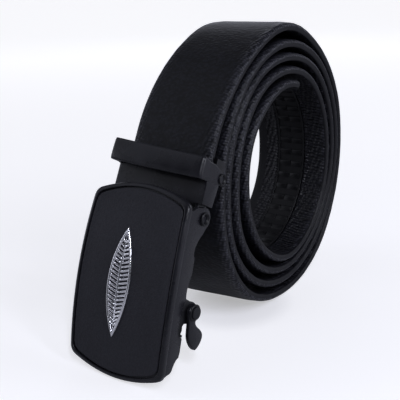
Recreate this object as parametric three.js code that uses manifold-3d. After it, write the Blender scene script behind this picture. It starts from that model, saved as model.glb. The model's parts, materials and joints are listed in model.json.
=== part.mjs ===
// Ratchet belt, rolled up and stood on the edge of its coil, with the buckle hanging in front.
// Millimetres. +X is the near side of the roll, the buckle faces -Y and +Z is up.
// The origin is at the bottom centre of the whole belt, on the surface that it stands on.
import * as THREE from 'three';
import { mergeVertices } from 'three/addons/utils/BufferGeometryUtils.js';
import Module from 'manifold-3d';

const wasm = await Module();
wasm.setup();

// Strap
const strapWidth = 35;
const strapThickness = 3.3;
const strapChamfer = 0.5;
const strapStepLength = 8;
const tailPointLength = 9;

// Coil of the strap: the outer turn's reach from the coil's centre, and the gap between turns
const coilReach = 57;
const wrapGap = 1.7;
const coilTurns = 4.25;
const leadOut = 6.14;
const leadOutTurn = 130;
const leadBearing = 159.7;
const clampLean = 27.6;

// Ratchet track on the inner face, near the free end
const trackWidth = 13.6;
const trackBase = 0.3;
const trackHeight = 0.75;
const trackPitch = 5.6;
const trackLength = 300;
const trackFromTip = 22;
const trackSeat = 0.1;

// Face plate of the buckle: a plate bent to the waist, with bowed ends and sides
const plateWidth = 40.9;
const plateLength = 58.6;
const plateThickness = 2.6;
const plateEndRise = 4.3;
const plateSideRise = 0.75;
const plateBend = 2.25;
const plateCorner = 3;
const rimWidth = 1.5;
const panelRecess = 0.9;
const panelThickness = 0.6;
const panelGap = 0.2;

// Side walls, ears and rear bar of the buckle housing
const wallThickness = 1.8;
const wallInset = 0.55;
const wallDepth = 9;
const earRadius = 3.9;
const earSetback = 4.3;
const earDepth = 10.8;
const barAlong = 34.8;
const barHeight = 6.4;
const barDepth = 8.2;
const barThickness = 1.4;

// Pins
const hingePinRadius = 1.5;
const hingeHeadRadius = 2.5;
const hingeHeadThickness = 1;
const pinClearance = 0.15;
const sideClearance = 0.2;

// Pawl, its ears on the housing, and the release lever
const pawlAlong = 21.8;
const pawlDepth = 12.9;
const pawlEarRadius = 3.5;
const pawlEarThickness = 1;
const pawlShaftRadius = 1.3;
const pawlHubRadius = 2.3;
const pawlNoseDepth = 7.6;
const pawlNoseDrop = 4.5;
const leverThickness = 1.6;
const leverHubRadius = 2.9;
const leverLength = 13.2;
const leverLeafWidth = 8;
const leverSweep = 3.2;
const screwRadius = 3;
const screwThickness = 1.5;

// Clamp on the end of the strap, with the keeper loop in front of it
const clampToHinge = 13.6;
const gripLength = 8;
const leadStraight = 4;
const clampSheet = 1.3;
const frontSheet = 0.8;
const clampWidth = 39.7;
const clampFrontGap = 0.5;
const loopReach = 7.2;
const loopHeight = 7.4;
const armWidth = 7;
const armStart = 4.5;
const cheekDrop = 0.8;
const cheekLugRadius = 2.4;
const frontDrop = 1.5;
const tongueThickness = 1;
const jawSheet = 0.75;
const jawGap = 0.3;
const jawPinRadius = 0.9;
const jawPinBehind = 3.4;
const jawPinRise = 1.4;
const jawFlangeWidth = 5.8;
const jawFlangeFoot = 5;
const jawFlangeCut = 3.2;
const jawHeadRadius = 1.8;
const jawHeadThickness = 0.6;

// Pierced lens ornament on the face plate
const ornamentLength = 38;
const ornamentWidth = 9.6;
const ornamentHeight = 0.8;
const ornamentRim = 0.9;
const ornamentRibs = 13;
const ornamentRib = 0.9;
const ornamentSide = -1.5;
const ornamentAlong = 28.5;

const degrees = Math.PI / 180;

// Hinge axis, along the face plate from its lower end
const earAlong = plateLength - earSetback;

// Coil shape by bearing, every 30 degrees from the back (+Y) over the top.
// reach is a share of coilReach. outer and inner are the gap to the next turn at the start of the
// coil and four turns further in, as shares of wrapGap.
const coilRows = [
  { reach: 0.880, outer: -0.04, inner: 1.07 },
  { reach: 0.897, outer: 0.15, inner: 1.19 },
  { reach: 0.916, outer: -0.02, inner: 1.52 },
  { reach: 0.965, outer: 1.02, inner: 1.19 },
  { reach: 0.907, outer: -0.91, inner: 2.39 },
  { reach: 0.887, outer: -1.13, inner: 2.40 },
  { reach: 0.895, outer: -1.01, inner: 2.57 },
  { reach: 0.934, outer: -1.43, inner: 3.59 },
  { reach: 1.006, outer: 0.36, inner: 2.35 },
  { reach: 1.016, outer: 1.59, inner: 0.26 },
  { reach: 0.992, outer: 1.87, inner: -0.13 },
  { reach: 0.915, outer: 0.69, inner: 0.31 },
];

// Back edge of a side wall, from the bottom up.
// along is a share of plateLength, depth a share of wallDepth.
const wallRows = [
  { along: 0.012, depth: 0.3 },
  { along: 0.035, depth: 0.5 },
  { along: 0.092, depth: 0.64 },
  { along: 0.128, depth: 0.92 },
  { along: 0.19, depth: 0.99 },
  { along: 0.28, depth: 0.8 },
  { along: 0.445, depth: 0.72 },
  { along: 0.455, depth: 0.92 },
  { along: 0.593, depth: 1.0 },
  { along: 0.712, depth: 0.95 },
  { along: 0.758, depth: 0.93 },
  { along: 0.804, depth: 1.11 },
];

// Materials, by what each piece is made of
const material = (name, color, roughness, metalness) =>
  Object.assign(new THREE.MeshStandardMaterial({ color, roughness, metalness }), { name });
const leather = material('black_leather', 0x17171a, 0.6, 0);
const plastic = material('black_plastic', 0x141416, 0.5, 0);
const paint = material('black_paint', 0x222226, 0.4, 0.2);
const panelPaint = material('matt_black_panel', 0x232327, 0.7, 0);
const blackSteel = material('blackened_steel', 0x1b1b1e, 0.4, 0.7);
const silver = material('polished_silver', 0xd8d8da, 0.15, 1);

// Value of one column of the coil table at a bearing in degrees, smoothly joined round the circle
function around(column, bearing) {
  const step = 360 / coilRows.length;
  const place = (((bearing % 360) + 360) % 360) / step;
  const row = Math.floor(place);
  const t = place - row;
  const at = (k) => coilRows[(row + k + coilRows.length) % coilRows.length][column];
  const [a, b, c, d] = [at(-1), at(0), at(1), at(2)];
  const square = 2 * a - 5 * b + 4 * c - d;
  const cube = 3 * b - a - 3 * c + d;
  return 0.5 * (2 * b + (c - a) * t + square * t ** 2 + cube * t ** 3);
}

// Middle line of the coiled strap, travelled degrees after it leaves the clamp, about the coil's centre
function coilPoint(travelled) {
  const bearing = leadBearing - travelled;
  const turns = travelled / 360;
  const outer = around('outer', bearing);
  const gaps = outer * turns + ((around('inner', bearing) - outer) * turns ** 2) / 8;
  const lead = leadOut * Math.max(0, 1 - travelled / leadOutTurn) ** 2;
  const radius = coilReach * around('reach', bearing) - strapThickness * turns - wrapGap * gaps + lead;
  return new THREE.Vector2(Math.cos(bearing * degrees), Math.sin(bearing * degrees)).multiplyScalar(radius);
}

// The whole middle line: a straight stretch in the clamp, then the coil, in even steps of length
function strapLine() {
  const start = coilPoint(0);
  const heading = new THREE.Vector2(Math.sin(clampLean * degrees), Math.cos(clampLean * degrees));
  const foot = start.clone().addScaledVector(heading, -(gripLength + leadStraight));
  const fine = [foot];
  const turn = coilTurns * 360;
  for (let travelled = 0; travelled < turn; travelled += 1) fine.push(coilPoint(travelled));
  fine.push(coilPoint(turn));
  const reached = [0];
  for (let i = 1; i < fine.length; i += 1) reached.push(reached[i - 1] + fine[i].distanceTo(fine[i - 1]));
  const total = reached[reached.length - 1];
  const at = (length) => {
    const wanted = Math.min(Math.max(length, 0), total);
    let i = 1;
    while (i < fine.length - 1 && reached[i] < wanted) i += 1;
    const share = (wanted - reached[i - 1]) / (reached[i] - reached[i - 1]);
    return fine[i - 1].clone().lerp(fine[i], share);
  };
  return { at, total, foot, heading };
}

// Place on the strap, with the direction along it and the one towards its outer face
function strapFrame(line, length) {
  const reach = 0.6;
  const along = line.at(length + reach).sub(line.at(length - reach)).normalize();
  return { point: line.at(length), along, out: new THREE.Vector2(-along.y, along.x) };
}

// Closed mesh through rings of points, with a fan cap on each end
function loft(rings) {
  const positions = [];
  const faces = [];
  const count = rings[0].length;
  rings.forEach((ring) => ring.forEach((p) => positions.push(p.x, p.y, p.z)));
  for (let r = 0; r < rings.length - 1; r += 1) {
    for (let i = 0; i < count; i += 1) {
      const a = r * count + i;
      const b = r * count + ((i + 1) % count);
      faces.push(a, b + count, b, a, a + count, b + count);
    }
  }
  const last = (rings.length - 1) * count;
  for (let i = 1; i < count - 1; i += 1) {
    faces.push(0, i, i + 1);
    faces.push(last, last + i + 1, last + i);
  }
  const geometry = new THREE.BufferGeometry();
  geometry.setAttribute('position', new THREE.Float32BufferAttribute(positions, 3));
  geometry.setIndex(faces);
  return geometry;
}

// Turn a closed geometry into a solid, and back
function solidOf(geometry) {
  const bare = geometry.clone();
  bare.deleteAttribute('normal');
  bare.deleteAttribute('uv');
  const merged = mergeVertices(bare, 1e-5);
  return new wasm.Manifold(new wasm.Mesh({
    numProp: 3,
    vertProperties: new Float32Array(merged.attributes.position.array),
    triVerts: new Uint32Array(merged.index.array),
  }));
}

function geometryOf(solid) {
  const mesh = solid.getMesh();
  const geometry = new THREE.BufferGeometry();
  geometry.setAttribute('position', new THREE.BufferAttribute(new Float32Array(mesh.vertProperties), 3));
  geometry.setIndex(new THREE.BufferAttribute(new Uint32Array(mesh.triVerts), 1));
  return geometry;
}

const join = (solids) => solids.slice(1).reduce((sum, next) => sum.add(next), solids[0]);
const cut = (solid, holes) => holes.reduce((rest, hole) => rest.subtract(hole), solid);

// Side view outline, given as [y, z] points or a Shape, made solid from x = low to x = high
function sideSolid(outline, low, high) {
  const points = outline instanceof THREE.Shape ? [] : outline.map(([y, z]) => new THREE.Vector2(y, z));
  const shape = outline instanceof THREE.Shape ? outline : new THREE.Shape(points);
  const how = { depth: high - low, bevelEnabled: false, curveSegments: 6 };
  const geometry = new THREE.ExtrudeGeometry(shape, how);
  const axes = [new THREE.Vector3(0, 1, 0), new THREE.Vector3(0, 0, 1), new THREE.Vector3(1, 0, 0)];
  geometry.applyMatrix4(new THREE.Matrix4().makeBasis(...axes));
  geometry.translate(low, 0, 0);
  return solidOf(geometry);
}

// The same outline on both sides of the belt
const bothSides = (outline, low, high) =>
  join([sideSolid(outline, low, high), sideSolid(outline, -high, -low)]);

// Front view outline (x, z) made solid from y = low to y = high
function frontSolid(shape, low, high) {
  const how = { depth: high - low, bevelEnabled: false, curveSegments: 5 };
  const geometry = new THREE.ExtrudeGeometry(shape, how);
  geometry.rotateX(Math.PI / 2);
  geometry.translate(0, high, 0);
  return solidOf(geometry);
}

// Round bar along X through (y, z)
function barAlongX(radius, low, high, y = 0, z = 0, sides = 24) {
  const geometry = new THREE.CylinderGeometry(radius, radius, high - low, sides);
  geometry.rotateZ(Math.PI / 2);
  geometry.translate((low + high) / 2, y, z);
  return solidOf(geometry);
}

// Domed head along +X or -X, its flat side at x
function headAlongX(radius, thickness, x, side, y = 0, z = 0) {
  const profile = [
    new THREE.Vector2(0, 0),
    new THREE.Vector2(radius, 0),
    new THREE.Vector2(radius, thickness * 0.45),
    new THREE.Vector2(radius * 0.8, thickness * 0.85),
    new THREE.Vector2(radius * 0.4, thickness),
    new THREE.Vector2(0, thickness),
  ];
  const geometry = new THREE.LatheGeometry(profile, 24);
  geometry.rotateZ(side > 0 ? -Math.PI / 2 : Math.PI / 2);
  geometry.translate(x, y, z);
  return solidOf(geometry);
}

function mesh(name, shape, kind) {
  const geometry = shape instanceof THREE.BufferGeometry ? shape : geometryOf(shape);
  const result = new THREE.Mesh(geometry, kind);
  result.name = name;
  return result;
}

// Lengths at which the strap's sections stand, up to where its tip starts to round off
function strapStations(line) {
  const body = line.total - tailPointLength;
  const steps = Math.round(body / strapStepLength);
  return Array.from({ length: steps + 1 }, (_, i) => (body * i) / steps);
}

// The strap's section is a rectangle with chamfered edges. Its tip is rounded in the face view.
function makeStrap(line) {
  const half = strapWidth / 2;
  const skin = strapThickness / 2;
  const ring = (length, halfWidth) => {
    const { point, out } = strapFrame(line, length);
    const chamfer = Math.min(strapChamfer, halfWidth / 2);
    const corners = [
      [halfWidth, -skin + chamfer], [halfWidth, skin - chamfer],
      [halfWidth - chamfer, skin], [-halfWidth + chamfer, skin],
      [-halfWidth, skin - chamfer], [-halfWidth, -skin + chamfer],
      [-halfWidth + chamfer, -skin], [halfWidth - chamfer, -skin],
    ];
    return corners.map(([x, n]) => new THREE.Vector3(x, point.x + out.x * n, point.y + out.y * n));
  };
  const stations = strapStations(line);
  const rings = stations.map((length) => ring(length, half));
  const body = stations[stations.length - 1];
  for (const angle of [30, 50, 66, 78]) {
    const length = body + tailPointLength * Math.sin(angle * degrees);
    rings.push(ring(length, half * (0.45 + 0.55 * Math.cos(angle * degrees))));
  }
  return loft(rings);
}

// Toothed strip on the inner face: a thin base with a cross bar at every pitch.
// It lies on the strap's own flats, between the sections on either side of each place.
function makeTrack(line) {
  const half = trackWidth / 2;
  const top = -strapThickness / 2 - trackSeat;
  const end = line.total - trackFromTip;
  const start = end - trackLength;
  const stations = strapStations(line);
  const step = stations[1];
  const ring = (length, height) => {
    const before = Math.min(Math.floor(length / step), stations.length - 2);
    const share = length / step - before;
    const low = strapFrame(line, stations[before]);
    const high = strapFrame(line, stations[before + 1]);
    const inward = (frame, n) => frame.point.clone().addScaledVector(frame.out, n);
    const place = (n) => inward(low, n).lerp(inward(high, n), share);
    const corners = [[half, top - height], [half, top], [-half, top], [-half, top - height]];
    return corners.map(([x, n]) => new THREE.Vector3(x, place(n).x, place(n).y));
  };
  const rings = [];
  const teeth = Math.floor(trackLength / trackPitch);
  for (let i = 0; i < teeth; i += 1) {
    const foot = start + i * trackPitch;
    rings.push(ring(foot, trackBase));
    rings.push(ring(foot + trackPitch * 0.3, trackBase));
    rings.push(ring(foot + trackPitch * 0.45, trackHeight));
    rings.push(ring(foot + trackPitch * 0.85, trackHeight));
  }
  rings.push(ring(start + teeth * trackPitch, trackBase));
  return loft(rings);
}

// How far the bent face plate's front stands ahead of its flat chord
const bendAt = (along) => plateBend * (1 - ((2 * along) / plateLength - 1) ** 2);

// Slab that follows the plate's bend, between two depths behind its front face
function bentSlab(front, back, halfWidth) {
  const low = -2 * plateEndRise;
  const high = plateLength + 2 * plateEndRise;
  const steps = 14;
  const outline = [];
  for (let i = 0; i <= steps; i += 1) {
    const along = low + ((high - low) * i) / steps;
    outline.push([front - bendAt(along) - earDepth, along - earAlong]);
  }
  for (let i = steps; i >= 0; i -= 1) {
    const along = low + ((high - low) * i) / steps;
    outline.push([back - bendAt(along) - earDepth, along - earAlong]);
  }
  return sideSolid(outline, -halfWidth, halfWidth);
}

// Face plate outline, drawn inwards by inset: four shallow bows joined by rounded corners
function plateOutline(inset) {
  const half = plateWidth / 2 - inset;
  const low = inset;
  const high = plateLength - inset;
  const corner = plateCorner;
  const steps = 8;
  const sides = [
    (t) => [half * (2 * t - 1), low - plateEndRise * (1 - (2 * t - 1) ** 2)],
    (t) => [half + plateSideRise * (1 - (2 * t - 1) ** 2), low + (high - low) * t],
    (t) => [half * (1 - 2 * t), high + plateEndRise * (1 - (2 * t - 1) ** 2)],
    (t) => [-half - plateSideRise * (1 - (2 * t - 1) ** 2), high - (high - low) * t],
  ];
  const lengths = [2 * half, high - low, 2 * half, high - low];
  const shape = new THREE.Shape();
  sides.forEach((side, s) => {
    const from = corner / lengths[s];
    for (let i = 0; i <= steps; i += 1) {
      const [x, along] = side(from + ((1 - 2 * from) * i) / steps);
      if (s === 0 && i === 0) shape.moveTo(x, along - earAlong);
      else shape.lineTo(x, along - earAlong);
    }
    const next = (s + 1) % sides.length;
    const [cornerX, cornerAlong] = side(1);
    const [endX, endAlong] = sides[next](corner / lengths[next]);
    shape.quadraticCurveTo(cornerX, cornerAlong - earAlong, endX, endAlong - earAlong);
  });
  return shape;
}

// Piece of the plate's outline that follows its bend, between two depths
function platePiece(inset, front, back) {
  const far = plateBend + plateThickness + wallDepth;
  const outline = frontSolid(plateOutline(inset), -earDepth - far, far - earDepth);
  return bentSlab(front, back, plateWidth).intersect(outline);
}

const wallOuter = plateWidth / 2 - wallInset;
const wallInner = wallOuter - wallThickness;

// Side wall outline with the ear for the clamp's hinge at its top
function wallOutline() {
  const depthAt = (depth) => depth - earDepth;
  const alongAt = (along) => along - earAlong;
  const seat = plateThickness * 0.6;
  const shape = new THREE.Shape();
  const front = [0.01, 0.25, 0.5, 0.75, 0.975];
  const first = wallRows[0];
  shape.moveTo(depthAt(first.depth * wallDepth), alongAt(first.along * plateLength));
  wallRows.slice(1).forEach((row) => {
    shape.lineTo(depthAt(row.depth * wallDepth), alongAt(row.along * plateLength));
  });
  shape.absarc(0, 0, earRadius, -0.35 * Math.PI, 0.62 * Math.PI, false);
  shape.lineTo(depthAt(0.68 * wallDepth), alongAt(0.98 * plateLength));
  shape.lineTo(depthAt(0.4 * wallDepth), alongAt(0.962 * plateLength));
  front.reverse().forEach((share) => {
    const along = share * plateLength;
    shape.lineTo(depthAt(seat - bendAt(along)), alongAt(along));
  });
  return shape;
}

// Thin ear that carries the pawl's shaft, behind each side wall
function pawlEarOutline() {
  const y = pawlDepth - earDepth;
  const z = pawlAlong - earAlong;
  const root = wallDepth * 0.6 - earDepth;
  const shape = new THREE.Shape();
  shape.moveTo(root, z + pawlEarRadius * 1.1);
  shape.lineTo(root, z - pawlEarRadius * 1.9);
  shape.lineTo(y - pawlEarRadius * 0.7, z - pawlEarRadius * 0.75);
  shape.absarc(y, z, pawlEarRadius, -0.65 * Math.PI, 0.5 * Math.PI, false);
  return shape;
}

function makeHousing() {
  const y = pawlDepth - earDepth;
  const z = pawlAlong - earAlong;
  const wide = plateWidth;
  const plate = platePiece(0, 0, plateThickness).subtract(platePiece(rimWidth, -1, panelRecess));
  const walls = bothSides(wallOutline(), wallInner, wallOuter);
  const ears = bothSides(pawlEarOutline(), wallInner, wallInner + pawlEarThickness);
  const barLow = barDepth - earDepth;
  const barFoot = barAlong - earAlong;
  const bar = sideSolid([
    [barLow, barFoot], [barLow + barThickness, barFoot],
    [barLow + barThickness, barFoot + barHeight], [barLow, barFoot + barHeight],
  ], -wallOuter, wallOuter);
  const bores = [
    barAlongX(hingePinRadius + pinClearance, -wide, wide),
    barAlongX(pawlShaftRadius + pinClearance, -wide, wide, y, z),
  ];
  return mesh('buckle_housing', cut(join([plate, walls, ears, bar]), bores), paint);
}

function makePanel() {
  const back = panelRecess - 0.1;
  return mesh('face_panel', platePiece(rimWidth + panelGap, back - panelThickness, back), panelPaint);
}

// Half width of the lens at a height above its middle
const lensHalf = (height, length, width) => {
  const radius = (length ** 2 + width ** 2) / (4 * width);
  return Math.sqrt(Math.max(0, radius ** 2 - height ** 2)) - (radius - width / 2);
};

// Lens outline with a row of open slots between its ribs
function makeOrnament() {
  const middle = ornamentAlong - earAlong;
  const steps = 14;
  const shape = new THREE.Shape();
  for (let i = 0; i <= steps; i += 1) {
    const height = ornamentLength * (i / steps - 0.5);
    const x = ornamentSide + lensHalf(height, ornamentLength, ornamentWidth);
    if (i === 0) shape.moveTo(x, middle + height);
    else shape.lineTo(x, middle + height);
  }
  for (let i = steps - 1; i > 0; i -= 1) {
    const height = ornamentLength * (i / steps - 0.5);
    shape.lineTo(ornamentSide - lensHalf(height, ornamentLength, ornamentWidth), middle + height);
  }
  const innerLength = ornamentLength - 6 * ornamentRim;
  const slots = ornamentRibs + 1;
  const pitch = innerLength / slots;
  for (let i = 0; i < slots; i += 1) {
    const low = -innerLength / 2 + i * pitch + ornamentRib / 2;
    const high = low + pitch - ornamentRib;
    const half = (height) => lensHalf(height, ornamentLength, ornamentWidth) - ornamentRim;
    const slot = new THREE.Path();
    slot.moveTo(ornamentSide - half(low), middle + low);
    slot.lineTo(ornamentSide + half(low), middle + low);
    slot.lineTo(ornamentSide + half(high), middle + high);
    slot.lineTo(ornamentSide - half(high), middle + high);
    slot.closePath();
    shape.holes.push(slot);
  }
  const far = plateBend + plateThickness + wallDepth;
  const seat = panelRecess - 0.1 - panelThickness - 0.05;
  const slab = bentSlab(seat - ornamentHeight, seat, plateWidth);
  return mesh('ornament', slab.intersect(frontSolid(shape, -earDepth - far, far - earDepth)), silver);
}

// Headed pin through the housing's ears and the clamp's tongues
function makeHingePin() {
  const end = wallOuter + pinClearance;
  return mesh('hinge_pin', join([
    barAlongX(hingePinRadius, -end - 0.1, end + 0.1),
    headAlongX(hingeHeadRadius, hingeHeadThickness, end, 1),
    headAlongX(hingeHeadRadius, hingeHeadThickness, -end, -1),
  ]), blackSteel);
}

// Shaft and pawl in one: the pawl's nose reaches the strap's channel
function makePawl() {
  const y = pawlDepth - earDepth;
  const z = pawlAlong - earAlong;
  const nose = pawlNoseDepth - earDepth;
  const half = wallInner - sideClearance;
  const shape = new THREE.Shape();
  shape.moveTo(nose, z - pawlNoseDrop);
  shape.lineTo(nose + 1.2, z - pawlNoseDrop - 1);
  shape.lineTo(y - pawlHubRadius * 0.6, z - pawlHubRadius * 0.8);
  shape.absarc(y, z, pawlHubRadius, -0.6 * Math.PI, 0.6 * Math.PI, false);
  shape.lineTo(nose + 2, z - pawlNoseDrop + 2.5);
  const near = leverFace + leverThickness;
  return mesh('pawl', join([
    sideSolid(shape, -half, half),
    barAlongX(pawlShaftRadius, -wallInner - pawlEarThickness - 1, near, y, z, 20),
  ]), blackSteel);
}

const leverFace = wallInner + pawlEarThickness + sideClearance;

// Leaf shaped lever on the near end of the pawl's shaft
function makeLever() {
  const y = pawlDepth - earDepth;
  const z = pawlAlong - earAlong;
  const leaf = leverLeafWidth / 2;
  const middle = y + leverSweep;
  const neck = z - leverHubRadius * 1.25;
  const widest = z - leverLength * 0.62;
  const tip = z - leverLength;
  const shape = new THREE.Shape();
  shape.absarc(y, z, leverHubRadius, -0.2 * Math.PI, 1.2 * Math.PI, false);
  shape.quadraticCurveTo(middle - leaf * 0.35, neck, middle - leaf * 0.75, neck - 0.8);
  shape.quadraticCurveTo(middle - leaf * 1.15, widest, middle - leaf * 0.6, tip + leverLength * 0.14);
  shape.quadraticCurveTo(middle, tip - 0.6, middle + leaf * 0.6, tip + leverLength * 0.14);
  shape.quadraticCurveTo(middle + leaf * 1.35, widest, middle + leaf * 0.6, neck - 0.6);
  shape.quadraticCurveTo(middle + leaf * 0.2, neck, y + leverHubRadius * 0.75, z - leverHubRadius * 0.66);
  const blank = sideSolid(shape, leverFace, leverFace + leverThickness);
  const boreRadius = pawlShaftRadius + pinClearance;
  const bore = barAlongX(boreRadius, leverFace - 1, leverFace + leverThickness + 1, y, z, 20);
  return mesh('release_lever', blank.subtract(bore), paint);
}

function makeScrew() {
  const y = pawlDepth - earDepth;
  const z = pawlAlong - earAlong;
  const face = leverFace + leverThickness + sideClearance;
  return mesh('lever_screw', headAlongX(screwRadius, screwThickness, face, 1, y, z), blackSteel);
}

const clampOuter = clampWidth / 2;
const clampInner = clampOuter - clampSheet;
const strapFront = -strapThickness / 2;
const plateBack = strapFront - clampFrontGap;
const loopFoot = clampToHinge;
const loopTop = loopFoot + loopHeight;
const loopBack = strapFront - loopReach + clampSheet;
const jawPinY = strapThickness / 2 + jawPinBehind;
const jawPinZ = clampToHinge + jawPinRise;

// Clamp frame in one sheet: front plate, arms down to the hinge, cheeks, and the keeper loop
function makeClampFrame() {
  const front = sideSolid([
    [plateBack - frontSheet, armStart], [plateBack, armStart],
    [plateBack, loopTop - frontDrop], [plateBack - frontSheet, loopTop - frontDrop],
  ], -clampOuter + 0.3, clampOuter - 0.3);
  const armFront = plateBack - frontSheet;
  const arms = bothSides([
    [armFront, armStart], [armFront + armWidth * 0.95, armStart],
    [armFront + armWidth * 1.1, loopFoot], [armFront, loopFoot],
  ], clampInner, clampOuter - 0.3);
  const tongueInner = wallInner - sideClearance - tongueThickness;
  const tongueOuter = wallInner - sideClearance;
  const tongue = new THREE.Shape();
  tongue.moveTo(-hingeHeadRadius, armStart + 2.5);
  tongue.absarc(0, 0, hingeHeadRadius, Math.PI, 2 * Math.PI, false);
  tongue.lineTo(hingeHeadRadius, armStart + 2.5);
  const tongues = bothSides(tongue, tongueInner, tongueOuter);
  const webs = bothSides([
    [armFront, armStart], [hingeHeadRadius, armStart],
    [hingeHeadRadius, armStart + 2.5], [armFront, armStart + 2.5],
  ], tongueInner, clampInner + 0.2);
  const cheek = new THREE.Shape();
  cheek.moveTo(loopBack - clampSheet, loopFoot);
  cheek.lineTo(strapFront, loopFoot - cheekDrop);
  cheek.lineTo(jawPinY - cheekLugRadius * 0.2, loopFoot - cheekDrop);
  cheek.absarc(jawPinY, jawPinZ, cheekLugRadius, -0.45 * Math.PI, 0.3 * Math.PI, false);
  cheek.lineTo(strapFront + 1, loopTop - 0.9);
  cheek.lineTo(loopBack - clampSheet, loopTop);
  const cheeks = bothSides(cheek, clampInner, clampOuter);
  const loop = sideSolid([
    [loopBack - clampSheet, loopFoot], [loopBack, loopFoot],
    [loopBack, loopTop], [loopBack - clampSheet, loopTop],
  ], -clampOuter, clampOuter);
  const wide = clampWidth;
  const bores = [
    barAlongX(hingePinRadius + pinClearance, -wide, wide),
    barAlongX(jawPinRadius + pinClearance, -wide, wide, jawPinY, jawPinZ, 16),
  ];
  return mesh('clamp_frame', cut(join([front, arms, tongues, webs, cheeks, loop]), bores), paint);
}

// Jaw behind the strap: a plate with a bitten edge and two side flanges that hang on the rivets
function makeJaw() {
  const skin = strapThickness / 2;
  const near = skin + jawGap;
  const foot = clampToHinge;
  const top = clampToHinge + gripLength;
  const outer = clampInner - 0.1;
  const inner = outer - jawSheet;
  const plate = sideSolid([
    [near, foot], [near + jawSheet, foot], [near + jawSheet, top], [near, top],
  ], -outer, outer);
  const flanges = bothSides([
    [near, foot], [skin + jawFlangeFoot, foot],
    [skin + jawFlangeWidth, top - jawFlangeCut], [skin + jawFlangeWidth, top], [near, top],
  ], inner, outer);
  const bore = barAlongX(jawPinRadius + pinClearance, -clampWidth, clampWidth, jawPinY, jawPinZ, 16);
  return mesh('clamp_jaw', join([plate, flanges]).subtract(bore), blackSteel);
}

// Rivet that holds the jaw in one cheek
function makeJawRivet(name, side) {
  const inside = (clampInner - 0.1 - jawSheet - 0.1) * side;
  const outside = (clampOuter + 0.1) * side;
  const ends = [inside, outside + 0.1 * side];
  return mesh(name, join([
    barAlongX(jawPinRadius, Math.min(...ends), Math.max(...ends), jawPinY, jawPinZ, 16),
    headAlongX(jawHeadRadius, jawHeadThickness, outside, side, jawPinY, jawPinZ),
  ]), blackSteel);
}

// Everything about the coil's centre, then the whole belt set down with its origin under its middle
const line = strapLine();
const hinge = line.foot.clone().addScaledVector(line.heading, -clampToHinge);

const strap = mesh('strap', makeStrap(line), leather);
const track = mesh('ratchet_track', makeTrack(line), plastic);
const coil = new THREE.Group();
coil.add(strap, track);

const clamp = new THREE.Group();
clamp.position.set(0, hinge.x, hinge.y);
clamp.rotation.x = -clampLean * degrees;
clamp.add(makeClampFrame(), makeJaw(), makeHingePin());
clamp.add(makeJawRivet('jaw_rivet_near', 1), makeJawRivet('jaw_rivet_far', -1));

// The buckle leans forward until the lower edge of its face plate stands level with the coil's bottom,
// and hangs straight down where it doesn't reach that far
strap.geometry.computeBoundingBox();
const hingeHeight = hinge.y - strap.geometry.boundingBox.min.z;
const footDrop = earAlong + plateEndRise;
const footAhead = earDepth - plateThickness + bendAt(-plateEndRise);
const footReach = Math.hypot(footDrop, footAhead);
const footSwing = Math.acos(Math.min(1, hingeHeight / footReach));
const buckleTilt = footSwing - Math.atan2(footAhead, footDrop);
const buckle = new THREE.Group();
buckle.position.set(0, hinge.x, hinge.y);
buckle.rotation.x = -buckleTilt;
buckle.add(makeHousing(), makePanel(), makeOrnament(), makePawl(), makeLever(), makeScrew());

const belt = new THREE.Group();
belt.add(coil, clamp, buckle);
const bounds = new THREE.Box3().setFromObject(belt, true);
belt.position.set(
  -(bounds.min.x + bounds.max.x) / 2,
  -(bounds.min.y + bounds.max.y) / 2,
  -bounds.min.z,
);
belt.updateMatrixWorld(true);

export default belt;
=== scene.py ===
"""Ratchet belt, rolled up and stood on the edge of its coil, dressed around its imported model.

Working sizes are in millimetres and are turned to metres where a mesh is made.
"""

import json
import math

import bmesh
import bpy
import numpy as np
from mathutils import Matrix, Vector


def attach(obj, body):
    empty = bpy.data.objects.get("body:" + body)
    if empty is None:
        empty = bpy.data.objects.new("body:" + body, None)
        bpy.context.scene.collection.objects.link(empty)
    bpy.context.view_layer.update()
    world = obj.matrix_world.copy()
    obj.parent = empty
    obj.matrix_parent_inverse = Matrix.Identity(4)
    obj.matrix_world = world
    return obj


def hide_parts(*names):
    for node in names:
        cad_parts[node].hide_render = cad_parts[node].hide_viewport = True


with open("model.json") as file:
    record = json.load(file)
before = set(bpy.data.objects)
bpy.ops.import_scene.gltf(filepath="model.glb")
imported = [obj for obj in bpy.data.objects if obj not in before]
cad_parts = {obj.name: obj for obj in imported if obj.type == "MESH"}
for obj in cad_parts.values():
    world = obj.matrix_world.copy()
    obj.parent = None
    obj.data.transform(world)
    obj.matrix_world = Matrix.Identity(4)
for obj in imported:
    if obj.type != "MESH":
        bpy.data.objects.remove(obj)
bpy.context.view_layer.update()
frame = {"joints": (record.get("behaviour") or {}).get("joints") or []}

MM = 0.001

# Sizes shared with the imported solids
STRAP_HALF = 17.5
STRAP_THICK = 3.3
TAIL_POINT = 9.0
COIL_REACH = 57.0
WRAP_GAP = 1.7
COIL_TURNS = 4.25
LEAD_OUT = 6.14
LEAD_OUT_TURN = 130.0
LEAD_BEARING = 159.7
CLAMP_LEAN = 27.6
TRACK_LENGTH = 300.0
TRACK_FROM_TIP = 22.0
TRACK_PITCH = 5.6
PLATE_WIDTH = 40.9
PLATE_LENGTH = 58.6
PLATE_THICK = 2.6
PLATE_END_RISE = 4.3
PLATE_SIDE_RISE = 0.75
PLATE_BEND = 2.25
EAR_ALONG = 54.3
EAR_DEPTH = 10.8
WALL_OUTER = PLATE_WIDTH / 2 - 0.55
WALL_INNER = WALL_OUTER - 1.8
CLAMP_TO_HINGE = 13.6
GRIP_LENGTH = 8.0
LEAD_STRAIGHT = 4.0
CLAMP_OUTER = 39.7 / 2
CLAMP_INNER = CLAMP_OUTER - 1.3
STRAP_FRONT = -STRAP_THICK / 2
PLATE_BACK = STRAP_FRONT - 0.5
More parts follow.
